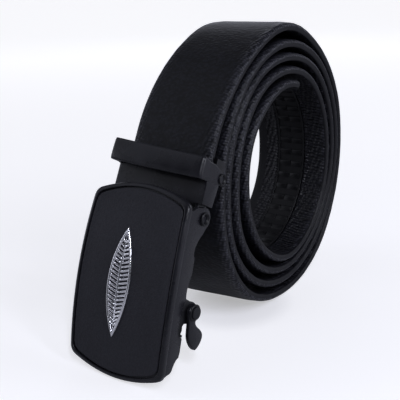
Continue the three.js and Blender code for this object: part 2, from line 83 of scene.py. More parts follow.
LOOP_FRONT = STRAP_FRONT - 7.2
LOOP_FOOT = CLAMP_TO_HINGE
LOOP_TOP = LOOP_FOOT + 7.4
JAW_PIN = (STRAP_THICK / 2 + 3.4, CLAMP_TO_HINGE + 1.4)
SHAFT = (12.9 - EAR_DEPTH, 21.8 - EAR_ALONG)
LEVER_FACE = WALL_INNER + 1.2

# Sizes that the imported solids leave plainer: how far the coil's end runs on in degrees, the plate's
# corners, and how far the lever's boss and its screw sit above the shaft's middle
COIL_END_EXTRA = 6.5
PLATE_CORNER = 2.4
SCREW_LIFT = 0.6

# Coil shape every 30 degrees from the back over the top: the reach of the outer turn as a share of
# COIL_REACH, and the gap to the next turn at the start and four turns in, as shares of WRAP_GAP
COIL_ROWS = np.array([
    (0.880, -0.04, 1.07), (0.897, 0.15, 1.19), (0.916, -0.02, 1.52), (0.965, 1.02, 1.19),
    (0.907, -0.91, 2.39), (0.887, -1.13, 2.40), (0.895, -1.01, 2.57), (0.934, -1.43, 3.59),
    (1.006, 0.36, 2.35), (1.016, 1.59, 0.26), (0.992, 1.87, -0.13), (0.915, 0.69, 0.31),
])

HINGE = Vector(next(j["pos_m"] for j in frame["joints"] if j["name"] == "buckle_hinge"))


# Strap path


def through(a, b, c, d, t):
    """Place between b and c, as a share t of the way, on a smooth line through all four."""
    return 0.5 * (2 * b + (c - a) * t + (2 * a - 5 * b + 4 * c - d) * t**2 + (3 * b - a - 3 * c + d) * t**3)


def coil_rows_at(bearing):
    """Reach and gaps at bearings in degrees, smoothly joined round the circle."""
    count = len(COIL_ROWS)
    place = np.mod(bearing, 360) / 360 * count
    row = np.floor(place).astype(int)
    t = (place - row)[:, None]
    a, b, c, d = (COIL_ROWS[(row + k) % count] for k in (-1, 0, 1, 2))
    return through(a, b, c, d, t)


def coil_points(travelled):
    """Middle line of the coil, travelled degrees after it leaves the clamp, about the coil's centre."""
    bearing = LEAD_BEARING - travelled
    reach, outer, inner = coil_rows_at(bearing).T
    turns = travelled / 360
    gaps = outer * turns + (inner - outer) * turns**2 / 8
    lead = LEAD_OUT * np.clip(1 - travelled / LEAD_OUT_TURN, 0, None) ** 2
    radius = COIL_REACH * reach - STRAP_THICK * turns - WRAP_GAP * gaps + lead
    angle = np.radians(bearing)
    return np.stack([radius * np.cos(angle), radius * np.sin(angle)], axis=1)


class StrapPath:
    """The strap's middle line in the (y, z) plane, by length from its end in the clamp."""

    def __init__(self):
        lean = math.radians(CLAMP_LEAN)
        heading = np.array([math.sin(lean), math.cos(lean)])
        coil = coil_points(np.arange(0, COIL_TURNS * 360 + COIL_END_EXTRA, 0.5))
        foot = coil[0] - heading * (GRIP_LENGTH + LEAD_STRAIGHT)
        hinge = foot - heading * CLAMP_TO_HINGE
        line = np.vstack([foot + heading * t for t in np.arange(0, GRIP_LENGTH + LEAD_STRAIGHT, 0.5)] + [coil])
        line += np.array([HINGE.y, HINGE.z]) / MM - hinge
        self.travelled = np.concatenate([np.zeros(len(line) - len(coil)), np.arange(len(coil)) * 0.5])
        steps = np.linalg.norm(np.diff(line, axis=0), axis=1)
        self.reached = np.concatenate([[0], np.cumsum(steps)])
        self.total = self.reached[-1]
        self.line = line

    def at(self, length):
        length = np.clip(length, 0, self.total)
        return np.stack([np.interp(length, self.reached, self.line[:, k]) for k in (0, 1)], axis=-1)

    def frame(self, length):
        """Points, directions along the strap and directions towards its outer face."""
        reach = 1.2
        along = self.at(length + reach) - self.at(length - reach)
        along /= np.linalg.norm(along, axis=-1, keepdims=True)
        return self.at(length), along, np.stack([-along[..., 1], along[..., 0]], axis=-1)


path = StrapPath()
TRACK_END = path.total - TRACK_FROM_TIP
TRACK_START = TRACK_END - TRACK_LENGTH


# Meshes


def srgb(code):
    """Linear colour of an sRGB hex value."""
    parts = [int(code[i:i + 2], 16) / 255 for i in (0, 2, 4)]
    return [c / 12.92 if c <= 0.04045 else ((c + 0.055) / 1.055) ** 2.4 for c in parts] + [1.0]


def turned(points, angle):
    """Points (x, depth, along) in mm about the hinge, turned by angle degrees, in metres."""
    points = np.asarray(points, dtype=float)
    c, s = math.cos(math.radians(angle)), math.sin(math.radians(angle))
    x, y, z = points.T
    place = np.stack([x, y * c + z * s, z * c - y * s], axis=1) * MM
    return place + np.array(HINGE)


def new_object(name, points, faces, smooth_angle=35):
    """Mesh object at the origin, smooth except at edges sharper than the angle."""
    mesh = bpy.data.meshes.new(name)
    mesh.from_pydata([tuple(p) for p in points], [], [tuple(f) for f in faces])
    mesh.update()
    obj = bpy.data.objects.new(name, mesh)
    bpy.context.collection.objects.link(obj)
    smooth(obj, smooth_angle)
    return obj


def smooth(obj, angle):
    mesh = obj.data
    mesh.polygons.foreach_set("use_smooth", [True] * len(mesh.polygons))
    mesh.set_sharp_from_angle(angle=math.radians(angle))
    mesh.update()


def dress(obj, material, body, slot, *nodes):
    """Give a piece its material and its body, and say which nodes it stands for. slot is not used."""
    if material:
        obj.data.materials.clear()
        obj.data.materials.append(material)
    if nodes:
        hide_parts(*nodes)
    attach(obj, body)
    return obj


def from_bmesh(name, bm, angle, smooth_angle=35):
    """Object of a shape made in mm about the hinge, turned into its place."""
    bmesh.ops.remove_doubles(bm, verts=bm.verts, dist=1e-4)
    bmesh.ops.recalc_face_normals(bm, faces=bm.faces)
    bm.verts.index_update()
    points = turned([v.co[:] for v in bm.verts], angle)
    faces = [[v.index for v in f.verts] for f in bm.faces]
    bm.free()
    return new_object(name, points, faces, smooth_angle)


def face_outwards(obj):
    """Turn the faces of a closed mesh outwards."""
    bm = bmesh.new()
    bm.from_mesh(obj.data)
    bmesh.ops.recalc_face_normals(bm, faces=bm.faces)
    bm.to_mesh(obj.data)
    bm.free()


def closed_skin(rings):
    """Closed skin over rings of points, each joined to the next and both ends filled."""
    bm = bmesh.new()
    made = [[bm.verts.new(p) for p in ring] for ring in rings]
    count = len(made[0])
    for a, b in zip(made, made[1:]):
        for i in range(count):
            j = (i + 1) % count
            bm.faces.new((a[i], a[j], b[j], b[i]))
    bm.faces.new(made[0])
    bm.faces.new(made[-1])
    bmesh.ops.recalc_face_normals(bm, faces=bm.faces)
    return bm


def side_slab(outline, low, high, edge=0.2, segments=2):
    """Outline [(depth, along)] made solid from x = low to x = high, its edges rounded."""
    bm = bmesh.new()
    rings = [[bm.verts.new((x, y, z)) for y, z in outline] for x in (low, high)]
    count = len(outline)
    bm.faces.new(rings[0])
    bm.faces.new(rings[1][::-1])
    for i in range(count):
        j = (i + 1) % count
        bm.faces.new((rings[0][i], rings[1][i], rings[1][j], rings[0][j]))
    bmesh.ops.recalc_face_normals(bm, faces=bm.faces)
    if edge:
        rims = [e for e in bm.edges if len({round(v.co.x, 4) for v in e.verts}) == 1]
        bmesh.ops.bevel(
            bm, geom=rims, offset=edge, offset_type="OFFSET", segments=segments,
            profile=0.5, affect="EDGES", clamp_overlap=True,
        )
    return bm


def turned_shape(profile, x, side, centre=(0, 0), sides=40):
    """Round piece along X: profile [(radius, distance from x outwards)], closed at both ends."""
    bm = bmesh.new()
    rings = []
    for radius, out in profile:
        if radius < 1e-6:
            rings.append([bm.verts.new((x + side * out, centre[0], centre[1]))])
            continue
        turns = [2 * math.pi * k / sides for k in range(sides)]
        rings.append([
            bm.verts.new((x + side * out, centre[0] + radius * math.cos(t), centre[1] + radius * math.sin(t)))
            for t in turns
        ])
    for a, b in zip(rings, rings[1:]):
        for k in range(sides):
            j = (k + 1) % sides
            corners = [a[k % len(a)], a[j % len(a)], b[j % len(b)], b[k % len(b)]]
            unique = list(dict.fromkeys(corners))
            if len(unique) > 2:
                bm.faces.new(unique)
    bmesh.ops.recalc_face_normals(bm, faces=bm.faces)
    return bm


def merged(shapes):
    """One bmesh holding several."""
    total = bmesh.new()
    for shape in shapes:
        mesh = bpy.data.meshes.new("part")
        shape.to_mesh(mesh)
        shape.free()
        total.from_mesh(mesh)
        bpy.data.meshes.remove(mesh)
    return total


def welded(name, shapes, angle, smooth_angle=35):
    """Object of several overlapping closed shapes, joined into one skin."""
    objects = [from_bmesh(f"{name}_{k}", shape, angle) for k, shape in enumerate(shapes)]
    first = objects[0]
    for other in objects[1:]:
        union = first.modifiers.new("join", "BOOLEAN")
        union.operation = "UNION"
        union.solver = "EXACT"
        union.object = other
    result = applied(first, name)
    for other in objects[1:]:
        bpy.data.objects.remove(other)
    smooth(result, smooth_angle)
    return result


def applied(obj, name):
    """The object's evaluated mesh as a plain object of that name."""
    evaluated = obj.evaluated_get(bpy.context.evaluated_depsgraph_get())
    mesh = bpy.data.meshes.new_from_object(evaluated)
    mesh.name = name
    bpy.data.objects.remove(obj)
    result = bpy.data.objects.new(name, mesh)
    bpy.context.collection.objects.link(result)
    return result


# Materials


def add(tree, kind, inputs=None, **settings):
    """A node of that kind, with its settings, and its inputs set or linked."""
    node = tree.nodes.new(kind)
    for key, value in settings.items():
        setattr(node, key, value)
    for key, value in (inputs or {}).items():
        if isinstance(value, bpy.types.NodeSocket):
            tree.links.new(value, node.inputs[key])
        else:
            node.inputs[key].default_value = value
    return node


def blank(name):
    material = bpy.data.materials.new(name)
    material.use_nodes = True
    material.node_tree.nodes.clear()
    return material, material.node_tree


def shade(tree, color, roughness, normal, **values):
    """Principled surface with linked colour, roughness and normal; other values sit on its sockets."""
    inputs = {"Base Color": color, "Roughness": roughness}
    if normal is not None:
        inputs["Normal"] = normal
    inputs.update({key.replace("_", " "): value for key, value in values.items()})
    shader = add(tree, "ShaderNodeBsdfPrincipled", inputs)
    add(tree, "ShaderNodeOutputMaterial", {"Surface": shader.outputs[0]})
    return shader


def leather(name, dark, light, cell, depth, rough, bead, bead_depth, everywhere=0.0):
    """Printed leather on the strap's own map, whose unit is 100 mm. cell and bead are widths in mm.

    Chrome tanned cowhide: a fine grain printed over it, near black in the creases. The grain swells
    into rows of small beads, towards the strap's edges on the outside and everywhere on the lining.
    The beads' crowns are painted paler as painted highlights, most at the turned corner.
    """
    material, tree = blank(name)
    uv = add(tree, "ShaderNodeUVMap", uv_map="strap")
    rim = add(tree, "ShaderNodeAttribute", attribute_name="rim")
    short = add(tree, "ShaderNodeMapping", {"Vector": uv.outputs[0], "Scale": (1.4, 0.75, 1.0)})
    warp = add(tree, "ShaderNodeTexNoise", {"Vector": uv.outputs[0], "Scale": 50.0, "Detail": 2.0})
    bent = add(tree, "ShaderNodeMixRGB", {
        "Fac": 0.004, "Color1": short.outputs[0], "Color2": warp.outputs["Color"],
    }, blend_type="LINEAR_LIGHT")
    cells = add(tree, "ShaderNodeTexVoronoi", {
        "Vector": bent.outputs[0], "Scale": 100 / cell, "Randomness": 0.9,
    }, feature="SMOOTH_F1")
    grain = add(tree, "ShaderNodeMapRange", {
        "Value": cells.outputs["Distance"], "From Min": 0.1, "From Max": 0.65, "To Min": 1.0, "To Max": 0.0,
    }, interpolation_type="SMOOTHSTEP")
    slant = add(tree, "ShaderNodeMapping", {
        "Vector": uv.outputs[0], "Rotation": (0, 0, 0.2), "Scale": (1.25, 0.85, 1.0),
    })
    knots = add(tree, "ShaderNodeTexVoronoi", {
        "Vector": slant.outputs[0], "Scale": 100 / bead, "Randomness": 0.32,
    }, feature="SMOOTH_F1")
    swell = add(tree, "ShaderNodeMapRange", {
        "Value": knots.outputs["Distance"], "From Min": 0.12, "From Max": 0.6, "To Min": 1.0, "To Max": 0.0,
    }, interpolation_type="SMOOTHSTEP")
    reach = add(tree, "ShaderNodeMath", {0: rim.outputs["Fac"], 1: everywhere}, operation="MAXIMUM")
    beads = add(tree, "ShaderNodeMath", {0: swell.outputs[0], 1: reach.outputs[0]}, operation="MULTIPLY")
    fine = add(tree, "ShaderNodeTexNoise", {
        "Vector": uv.outputs[0], "Scale": 260.0, "Detail": 3.0, "Roughness": 0.6,
    })
    broad = add(tree, "ShaderNodeTexNoise", {"Vector": uv.outputs[0], "Scale": 9.0, "Detail": 3.0})
    skin = add(tree, "ShaderNodeMath", {
        0: fine.outputs["Fac"], 1: 0.5, 2: grain.outputs[0],
    }, operation="MULTIPLY_ADD")
    low = add(tree, "ShaderNodeBump", {"Height": skin.outputs[0], "Distance": depth * MM, "Strength": 1.0})
    high = add(tree, "ShaderNodeBump", {
        "Height": beads.outputs[0], "Distance": bead_depth * MM, "Strength": 1.0, "Normal": low.outputs[0],
    })
    # The grain's crowns are paler than its near black creases; the beads' crowns are painted paler too, as
    # painted highlights
    top = add(tree, "ShaderNodeMath", {0: grain.outputs[0], 1: beads.outputs[0]}, operation="MAXIMUM")
    tint = add(tree, "ShaderNodeMixRGB", {
        "Fac": top.outputs[0], "Color1": srgb(dark), "Color2": srgb(light),
    })
    # Painted highlight: the bead crowns at the turned corner are painted a paler grey
    sharp = add(tree, "ShaderNodeMapRange", {
        "Value": knots.outputs["Distance"], "From Min": 0.12, "From Max": 0.52, "To Min": 0.8, "To Max": 0.0,
    }, interpolation_type="SMOOTHSTEP")
    corner = add(tree, "ShaderNodeMath", {0: rim.outputs["Fac"], 1: 5.0}, operation="POWER")
    painted_bead_highlight = add(tree, "ShaderNodeMath", {0: sharp.outputs[0], 1: corner.outputs[0]}, operation="MULTIPLY")
    tint = add(tree, "ShaderNodeMixRGB", {
        "Fac": painted_bead_highlight.outputs[0], "Color1": tint.outputs[0], "Color2": srgb("3c3c43"),
    })
    mottle = add(tree, "ShaderNodeMapRange", {
        "Value": broad.outputs["Fac"], "From Min": 0.3, "From Max": 0.7, "To Min": 0.82, "To Max": 1.15,
    })
    color = add(tree, "ShaderNodeVectorMath", {0: tint.outputs[0], "Scale": mottle.outputs[0]}, operation="SCALE")
    worn = add(tree, "ShaderNodeMath", {0: beads.outputs[0], 1: -0.14, 2: rough}, operation="MULTIPLY_ADD")
    gloss = add(tree, "ShaderNodeMath", {
        0: fine.outputs["Fac"], 1: -0.1, 2: worn.outputs[0],
    }, operation="MULTIPLY_ADD")
    shade(tree, color.outputs[0], gloss.outputs[0], high.outputs[0], Specular_IOR_Level=0.25)
    return material


def edge_paint(name, base, rough):
    """Several brushed coats of edge paint over the cut leather: smooth, satin, with faint long ripples."""
    material, tree = blank(name)
    uv = add(tree, "ShaderNodeUVMap", uv_map="strap")
    long = add(tree, "ShaderNodeMapping", {"Vector": uv.outputs[0], "Scale": (1.0, 6.0, 1.0)})
    ripple = add(tree, "ShaderNodeTexNoise", {"Vector": long.outputs[0], "Scale": 30.0, "Detail": 2.0})
    speck = add(tree, "ShaderNodeTexNoise", {"Vector": uv.outputs[0], "Scale": 420.0, "Detail": 2.0})
    both = add(tree, "ShaderNodeMath", {0: ripple.outputs["Fac"], 1: speck.outputs["Fac"]}, operation="ADD")
    bump = add(tree, "ShaderNodeBump", {"Height": both.outputs[0], "Distance": 0.05 * MM, "Strength": 0.8})
    tint = add(tree, "ShaderNodeMixRGB", {
        "Fac": ripple.outputs["Fac"], "Color1": srgb(base), "Color2": srgb("101015"),
    })
    gloss = add(tree, "ShaderNodeMapRange", {
        "Value": speck.outputs["Fac"], "To Min": rough - 0.06, "To Max": rough + 0.1,
    })
    shade(tree, tint.outputs[0], gloss.outputs[0], bump.outputs[0], Specular_IOR_Level=0.22)
    return material


def satin_paint(name, base, rough, grain=0.35, depth=0.02, wear=0.15):
    """Black satin coat on die-cast zinc or steel, with a fine orange peel, rubbed a little paler in places.

    grain is the width of the peel in mm, drawn coarse enough to show.
    """
    material, tree = blank(name)
    place = add(tree, "ShaderNodeTexCoord")
    peel = add(tree, "ShaderNodeTexNoise", {
        "Vector": place.outputs["Object"], "Scale": 1 / (grain * MM), "Detail": 2.0, "Roughness": 0.5,
    })
    cloud = add(tree, "ShaderNodeTexNoise", {
        "Vector": place.outputs["Object"], "Scale": 1 / (9 * MM), "Detail": 4.0,
    })
    bump = add(tree, "ShaderNodeBump", {"Height": peel.outputs["Fac"], "Distance": depth * MM, "Strength": 1.0})
    worn = add(tree, "ShaderNodeMapRange", {
        "Value": cloud.outputs["Fac"], "From Min": 0.35, "From Max": 0.7, "To Min": 0.0, "To Max": wear,
    })
    tint = add(tree, "ShaderNodeMixRGB", {
        "Fac": worn.outputs[0], "Color1": srgb(base), "Color2": srgb("3a3a41"),
    })
    gloss = add(tree, "ShaderNodeMapRange", {
        "Value": cloud.outputs["Fac"], "From Min": 0.3, "From Max": 0.7,
        "To Min": rough - 0.05, "To Max": rough + 0.07,
    })
    shade(tree, tint.outputs[0], gloss.outputs[0], bump.outputs[0], Specular_IOR_Level=0.3)
    return material


def powder_coat(name):
    """Fine textured powder coat on the face panel: matt, with a grit that shows as a faint sparkle.

    The grit is drawn 0.55 mm wide, coarser than such a coat's, so that it shows.
    """
    material, tree = blank(name)
    place = add(tree, "ShaderNodeTexCoord")
    grit = add(tree, "ShaderNodeTexVoronoi", {
        "Vector": place.outputs["Object"], "Scale": 1 / (0.55 * MM), "Randomness": 1.0,
    }, feature="F1")
    fine = add(tree, "ShaderNodeTexNoise", {
        "Vector": place.outputs["Object"], "Scale": 1 / (0.8 * MM), "Detail": 3.0, "Roughness": 0.6,
    })
    cloud = add(tree, "ShaderNodeTexNoise", {
        "Vector": place.outputs["Object"], "Scale": 1 / (14 * MM), "Detail": 2.0,
    })
    relief = add(tree, "ShaderNodeMath", {0: grit.outputs["Distance"], 1: fine.outputs["Fac"]}, operation="ADD")
    bump = add(tree, "ShaderNodeBump", {"Height": relief.outputs[0], "Distance": 0.06 * MM, "Strength": 1.0})
    tint = add(tree, "ShaderNodeMixRGB", {
        "Fac": fine.outputs["Fac"], "Color1": srgb("1b1b1f"), "Color2": srgb("2e2e34"),
    })
    drift = add(tree, "ShaderNodeMapRange", {
        "Value": cloud.outputs["Fac"], "From Min": 0.3, "From Max": 0.7, "To Min": 0.92, "To Max": 1.1,
    })
    color = add(tree, "ShaderNodeVectorMath", {0: tint.outputs[0], "Scale": drift.outputs[0]}, operation="SCALE")
    gloss = add(tree, "ShaderNodeMapRange", {"Value": grit.outputs["Distance"], "To Min": 0.42, "To Max": 0.62})
    shade(tree, color.outputs[0], gloss.outputs[0], bump.outputs[0], Specular_IOR_Level=0.22)
    return material


def moulded_plastic(name):
    """Injection moulded polypropylene of the toothed track: satin, with faint flow marks."""
    material, tree = blank(name)
    place = add(tree, "ShaderNodeTexCoord")
    flow = add(tree, "ShaderNodeTexNoise", {
        "Vector": place.outputs["Object"], "Scale": 1 / (1.6 * MM), "Detail": 2.0,
    })
    bump = add(tree, "ShaderNodeBump", {"Height": flow.outputs["Fac"], "Distance": 0.03 * MM, "Strength": 1.0})
    tint = add(tree, "ShaderNodeMixRGB", {
        "Fac": flow.outputs["Fac"], "Color1": srgb("09090a"), "Color2": srgb("131315"),
    })
    gloss = add(tree, "ShaderNodeMapRange", {"Value": flow.outputs["Fac"], "To Min": 0.32, "To Max": 0.5})
    shade(tree, tint.outputs[0], gloss.outputs[0], bump.outputs[0], Specular_IOR_Level=0.2)
    return material


def plated_silver(name):
    """Bright nickel plate with faint polishing marks, a little dull in places."""
    material, tree = blank(name)
    place = add(tree, "ShaderNodeTexCoord")
    marks = add(tree, "ShaderNodeTexNoise", {
        "Vector": place.outputs["Object"], "Scale": 1 / (0.7 * MM), "Detail": 3.0,
    })
    bump = add(tree, "ShaderNodeBump", {"Height": marks.outputs["Fac"], "Distance": 0.015 * MM, "Strength": 1.0})
    tint = add(tree, "ShaderNodeMixRGB", {
        "Fac": marks.outputs["Fac"], "Color1": srgb("d9d9dd"), "Color2": srgb("f6f6f8"),
    })
    gloss = add(tree, "ShaderNodeMapRange", {"Value": marks.outputs["Fac"], "To Min": 0.14, "To Max": 0.34})
    shade(tree, tint.outputs[0], gloss.outputs[0], bump.outputs[0], Metallic=1.0)
    return material


grain_leather = leather(
    "grain_leather", "08080b", "15161c", cell=1.15, depth=0.06, rough=0.54, bead=1.25, bead_depth=0.2,
)
lining_leather = leather(
    "lining_leather", "060608", "17171c", cell=0.9, depth=0.05, rough=0.5, bead=1.85, bead_depth=0.42,
    everywhere=1.0,
)
painted_edge = edge_paint("painted_edge", "09090c", 0.44)
satin_black = satin_paint("satin_black", "18181c", 0.27)
# Darker copy of the satin paint: the darker steel of the pins, pawl and screw, and painted shade on the jaw and
# the shaft's brackets
dark_steel_and_painted_shade = satin_paint("dark_steel_and_painted_shade", "0f0f12", 0.42, wear=0.06)
panel_coat = powder_coat("textured_powder_coat")
track_plastic = moulded_plastic("moulded_track")
silver_plate = plated_silver("silver_plate")


# Strap


def strap_section():
    """Points round the strap's section, (x, height above its middle), with the face that each starts.

    The outer grain leather is turned over the edge, the edge is painted, and the lining is trimmed
    at its corner. Two low ridges on the lining hold the track between them.
    """
    skin = STRAP_THICK / 2
    outer_round, inner_round = 1.3, 1.0
    points = []
    for x in (0.0, 2.4, 4.8, 6.55):
        points.append((x, -skin, "lining"))
    points += [(6.85, -skin - 0.22, "lining"), (7.2, -skin - 0.32, "lining"), (7.6, -skin - 0.22, "lining")]
    for x in (8.0, 10.5, 13.0, 15.2):
        points.append((x, -skin, "lining"))
    for angle in (-90, -60, -30):
        t = math.radians(angle)
        centre = (STRAP_HALF - inner_round, -skin + inner_round)
        points.append((centre[0] + inner_round * math.cos(t), centre[1] + inner_round * math.sin(t), "edge"))
    for share in (0.0, 0.35, 0.7):
        low, high = -skin + inner_round, skin - outer_round
        bulge = 0.12 * math.sin(math.pi * share)
        points.append((STRAP_HALF - 0.12 + bulge, low + (high - low) * share, "edge"))
    for angle in (0, 22, 45, 68, 90):
        t = math.radians(angle)
        centre = (STRAP_HALF - outer_round, skin - outer_round)
        points.append((centre[0] + outer_round * math.cos(t), centre[1] + outer_round * math.sin(t), "grain"))
    for x in (15.2, 14.2, 13.0, 11.5, 9.0, 6.0, 3.0):
        points.append((x, skin, "grain"))
    other = [(-x, n, kind) for x, n, kind in points[::-1] if x > 0]
    middle = [(0.0, skin, "grain")]
    kinds = [kind for _, _, kind in points + middle]
    half = [(x, n) for x, n, _ in points + middle]
    mirrored = [(x, n) for x, n, _ in other]
    back_kinds = ["grain"] + [kind for kind in kinds[::-1][1:]]
    return np.array(half + mirrored), (kinds + back_kinds)[:len(half) + len(mirrored)]


def value_noise(u, v, seed):
    """Smooth noise from -1 to 1 on a unit grid."""
    rng = np.random.default_rng(seed)
    table = rng.uniform(-1, 1, (2048, 64))
    iu, iv = np.floor(u).astype(int), np.floor(v).astype(int)
    fu, fv = u - iu, v - iv
    fu, fv = fu * fu * (3 - 2 * fu), fv * fv * (3 - 2 * fv)

    def at(i, j):
        return table[i % 2048, j % 64]

    low = at(iu, iv) * (1 - fu) + at(iu + 1, iv) * fu
    high = at(iu, iv + 1) * (1 - fu) + at(iu + 1, iv + 1) * fu
    return low * (1 - fv) + high * fv


def ramp(value, low, high):
    """0 below low, 1 above high and a smooth rise between them."""
    t = np.clip((value - low) / (high - low), 0, 1)
    return t * t * (3 - 2 * t)


def make_strap():
    section, kinds = strap_section()
    around = len(section)
    body = path.total - TAIL_POINT
    lengths = list(np.linspace(0, body, int(body / 0.8)))
    widths = [1.0] * len(lengths)
    thins = [1.0] * len(lengths)
    for angle in range(6, 91, 6):
        lengths.append(body + TAIL_POINT * math.sin(math.radians(angle)) * 0.97)
        widths.append(0.45 + 0.55 * math.cos(math.radians(angle)))
        thins.append(1.0)
    for ahead, thin in ((0.1, 0.93), (0.18, 0.8), (0.24, 0.55)):
        lengths.append(body + TAIL_POINT * 0.97 + ahead)
        widths.append(0.44 - 0.02 * (1 - thin))
        thins.append(thin)
    lengths = np.array(lengths)
    point, _, out = path.frame(np.minimum(lengths, path.total))
    s = lengths[:, None]
    x = section[None, :, 0] * np.array(widths)[:, None]
    n = np.repeat(section[None, :, 1], len(lengths), axis=0) * np.array(thins)[:, None]

    in_track = ramp(s, TRACK_START - 3, TRACK_START) * (1 - ramp(s, TRACK_END, TRACK_END + 3))
    ridge = np.minimum(n + STRAP_THICK / 2, 0)
    n = n - ridge * (1 - in_track)

    # The turned edge of the grain leather puckers into small beads, and the face is very slightly uneven
    side = np.sign(section[None, :, 0])
    is_grain = np.array([k == "grain" for k in kinds])[None, :]
    near_edge = ramp(np.abs(section[None, :, 0]), 14.0, 16.8) * is_grain
    bead = value_noise(s / 1.7 + 0 * x, side * 3 + 8 + 0 * s, 3) * 0.02
    dimple = value_noise(s / 3.2 + 0 * x, x / 3.0 + 20, 5) * 0.05
    swell = value_noise(s / 40 + 0 * x, x / 12 + 9, 7) * 0.1
    loose = ramp(s, 14, 40)
    droop = 0.3 * ramp(np.abs(section[None, :, 0]), 12.0, 17.5) * is_grain
    n = n + (near_edge * bead + is_grain * dimple) * loose - droop
    at_edge = ramp(np.abs(section[None, :, 0]), 16.5, 17.2)
    edge_wave = value_noise(s / 2.2 + 0 * x, side * 5 + 30 + 0 * s, 11) * 0.025 * at_edge
    x = x + side * edge_wave + swell * 0.6 * loose
    wander = 0.3 * value_noise(s / 90, 0 * s + 2, 13) * loose
    x = x + wander

    # The outer turn stands out a little along its lower front, most at its far edge
    turned_by = np.interp(lengths, path.reached, path.travelled)[:, None]
    far = np.clip(0.5 - x / (2 * STRAP_HALF), 0, 1)
    n = n + 3.4 * ramp(turned_by, 253, 290) * (1 - ramp(turned_by, 292, 338)) * (0.3 + 0.7 * far)

    y = point[:, 0:1] + out[:, 0:1] * n
    z = point[:, 1:2] + out[:, 1:2] * n
    place = np.stack([x + HINGE.x / MM, y, z], axis=2).reshape(-1, 3) * MM

    rings = len(lengths)
    index = np.arange(rings * around).reshape(rings, around)
    nxt = np.roll(index, -1, axis=1)
    quads = np.stack([index[:-1], index[1:], nxt[1:], nxt[:-1]], axis=2).reshape(-1, 4)
    faces = quads.tolist() + [index[0].tolist(), index[-1][::-1].tolist()]
    obj = new_object("strap_leather", place, faces, 60)
    mesh = obj.data

    sides = np.linalg.norm(np.diff(np.vstack([section, section[:1]]), axis=0), axis=1)
    rounds = np.concatenate([[0], np.cumsum(sides)])
    uv = mesh.uv_layers.new(name="strap")
    loop_vertex = np.empty(len(mesh.loops), dtype=int)
    mesh.loops.foreach_get("vertex_index", loop_vertex)
    ring_of, place_of = loop_vertex // around, loop_vertex % around
    v = rounds[place_of]
    face_of_loop = np.repeat(np.arange(len(mesh.polygons)), [p.loop_total for p in mesh.polygons])
    quad_column = np.arange(len(quads)) % around
    wraps = np.zeros(len(mesh.polygons), dtype=bool)
    wraps[:len(quads)] = quad_column == around - 1
    v = np.where(wraps[face_of_loop] & (place_of == 0), rounds[-1], v)
    uv.data.foreach_set("uv", np.stack([lengths[ring_of] / 100, v / 100], axis=1).ravel())

    rim = mesh.attributes.new("rim", "FLOAT", "POINT")
    rim.data.foreach_set("value", np.tile(ramp(np.abs(section[:, 0]), 12.2, 16.0), rings))

    mesh.materials.append(grain_leather)
    mesh.materials.append(painted_edge)
    mesh.materials.append(lining_leather)
    which = {"grain": 0, "edge": 1, "lining": 2}
    column = [which[k] for k in kinds]
    materials = [column[c] for c in quad_column] + [1, 1]
    mesh.polygons.foreach_set("material_index", materials)
    return dress(obj, None, "coil", "strap_leather", "strap")


# Rows of repeated bars, placed by Geometry Nodes


def bar_rows_tree():
    """Node group that puts one bar on every point, turned and stretched by the point's attributes."""
    tree = bpy.data.node_groups.new("bar_rows", "GeometryNodeTree")
    face = tree.interface
    face.new_socket("Points", in_out="INPUT", socket_type="NodeSocketGeometry")
    face.new_socket("Bar", in_out="INPUT", socket_type="NodeSocketObject")
    face.new_socket("Finish", in_out="INPUT", socket_type="NodeSocketMaterial")
    face.new_socket("Bars", in_out="OUTPUT", socket_type="NodeSocketGeometry")
    start = add(tree, "NodeGroupInput")
    bar = add(tree, "GeometryNodeObjectInfo", {"Object": start.outputs["Bar"]})
    along = add(tree, "GeometryNodeInputNamedAttribute", {"Name": "along"}, data_type="FLOAT_VECTOR")
    out = add(tree, "GeometryNodeInputNamedAttribute", {"Name": "out"}, data_type="FLOAT_VECTOR")
    size = add(tree, "GeometryNodeInputNamedAttribute", {"Name": "size"}, data_type="FLOAT_VECTOR")
    turn = add(tree, "FunctionNodeAxesToRotation", {
        "Primary Axis": out.outputs[0], "Secondary Axis": along.outputs[0],
    }, primary_axis="Z", secondary_axis="Y")
    points = add(tree, "GeometryNodeMeshToPoints", {"Mesh": start.outputs["Points"]})
    placed = add(tree, "GeometryNodeInstanceOnPoints", {
        "Points": points.outputs[0], "Instance": bar.outputs["Geometry"],
        "Rotation": turn.outputs[0], "Scale": size.outputs[0],
    })
    real = add(tree, "GeometryNodeRealizeInstances", {"Geometry": placed.outputs[0]})
    finish = add(tree, "GeometryNodeSetMaterial", {
        "Geometry": real.outputs[0], "Material": start.outputs["Finish"],
    })
    add(tree, "NodeGroupOutput", {"Bars": finish.outputs[0]})
    return tree


def bars_on(name, tree, bar, finish, places, along, out, size):
    """Plain mesh object with one bar on each place."""
    mesh = bpy.data.meshes.new(name)
    mesh.from_pydata([tuple(p) for p in places], [], [])
    for key, values in (("along", along), ("out", out), ("size", size)):
        attribute = mesh.attributes.new(key, "FLOAT_VECTOR", "POINT")
        attribute.data.foreach_set("vector", np.asarray(values, dtype=float).ravel())
    obj = bpy.data.objects.new(name + "_points", mesh)
    bpy.context.collection.objects.link(obj)
    modifier = obj.modifiers.new("bars", "NODES")
    modifier.node_group = tree
    sockets = {s.name: s.identifier for s in tree.interface.items_tree if s.in_out == "INPUT"}
    modifier[sockets["Bar"]] = bar
    modifier[sockets["Finish"]] = finish
    result = applied(obj, name)
    smooth(result, 40)
    return result


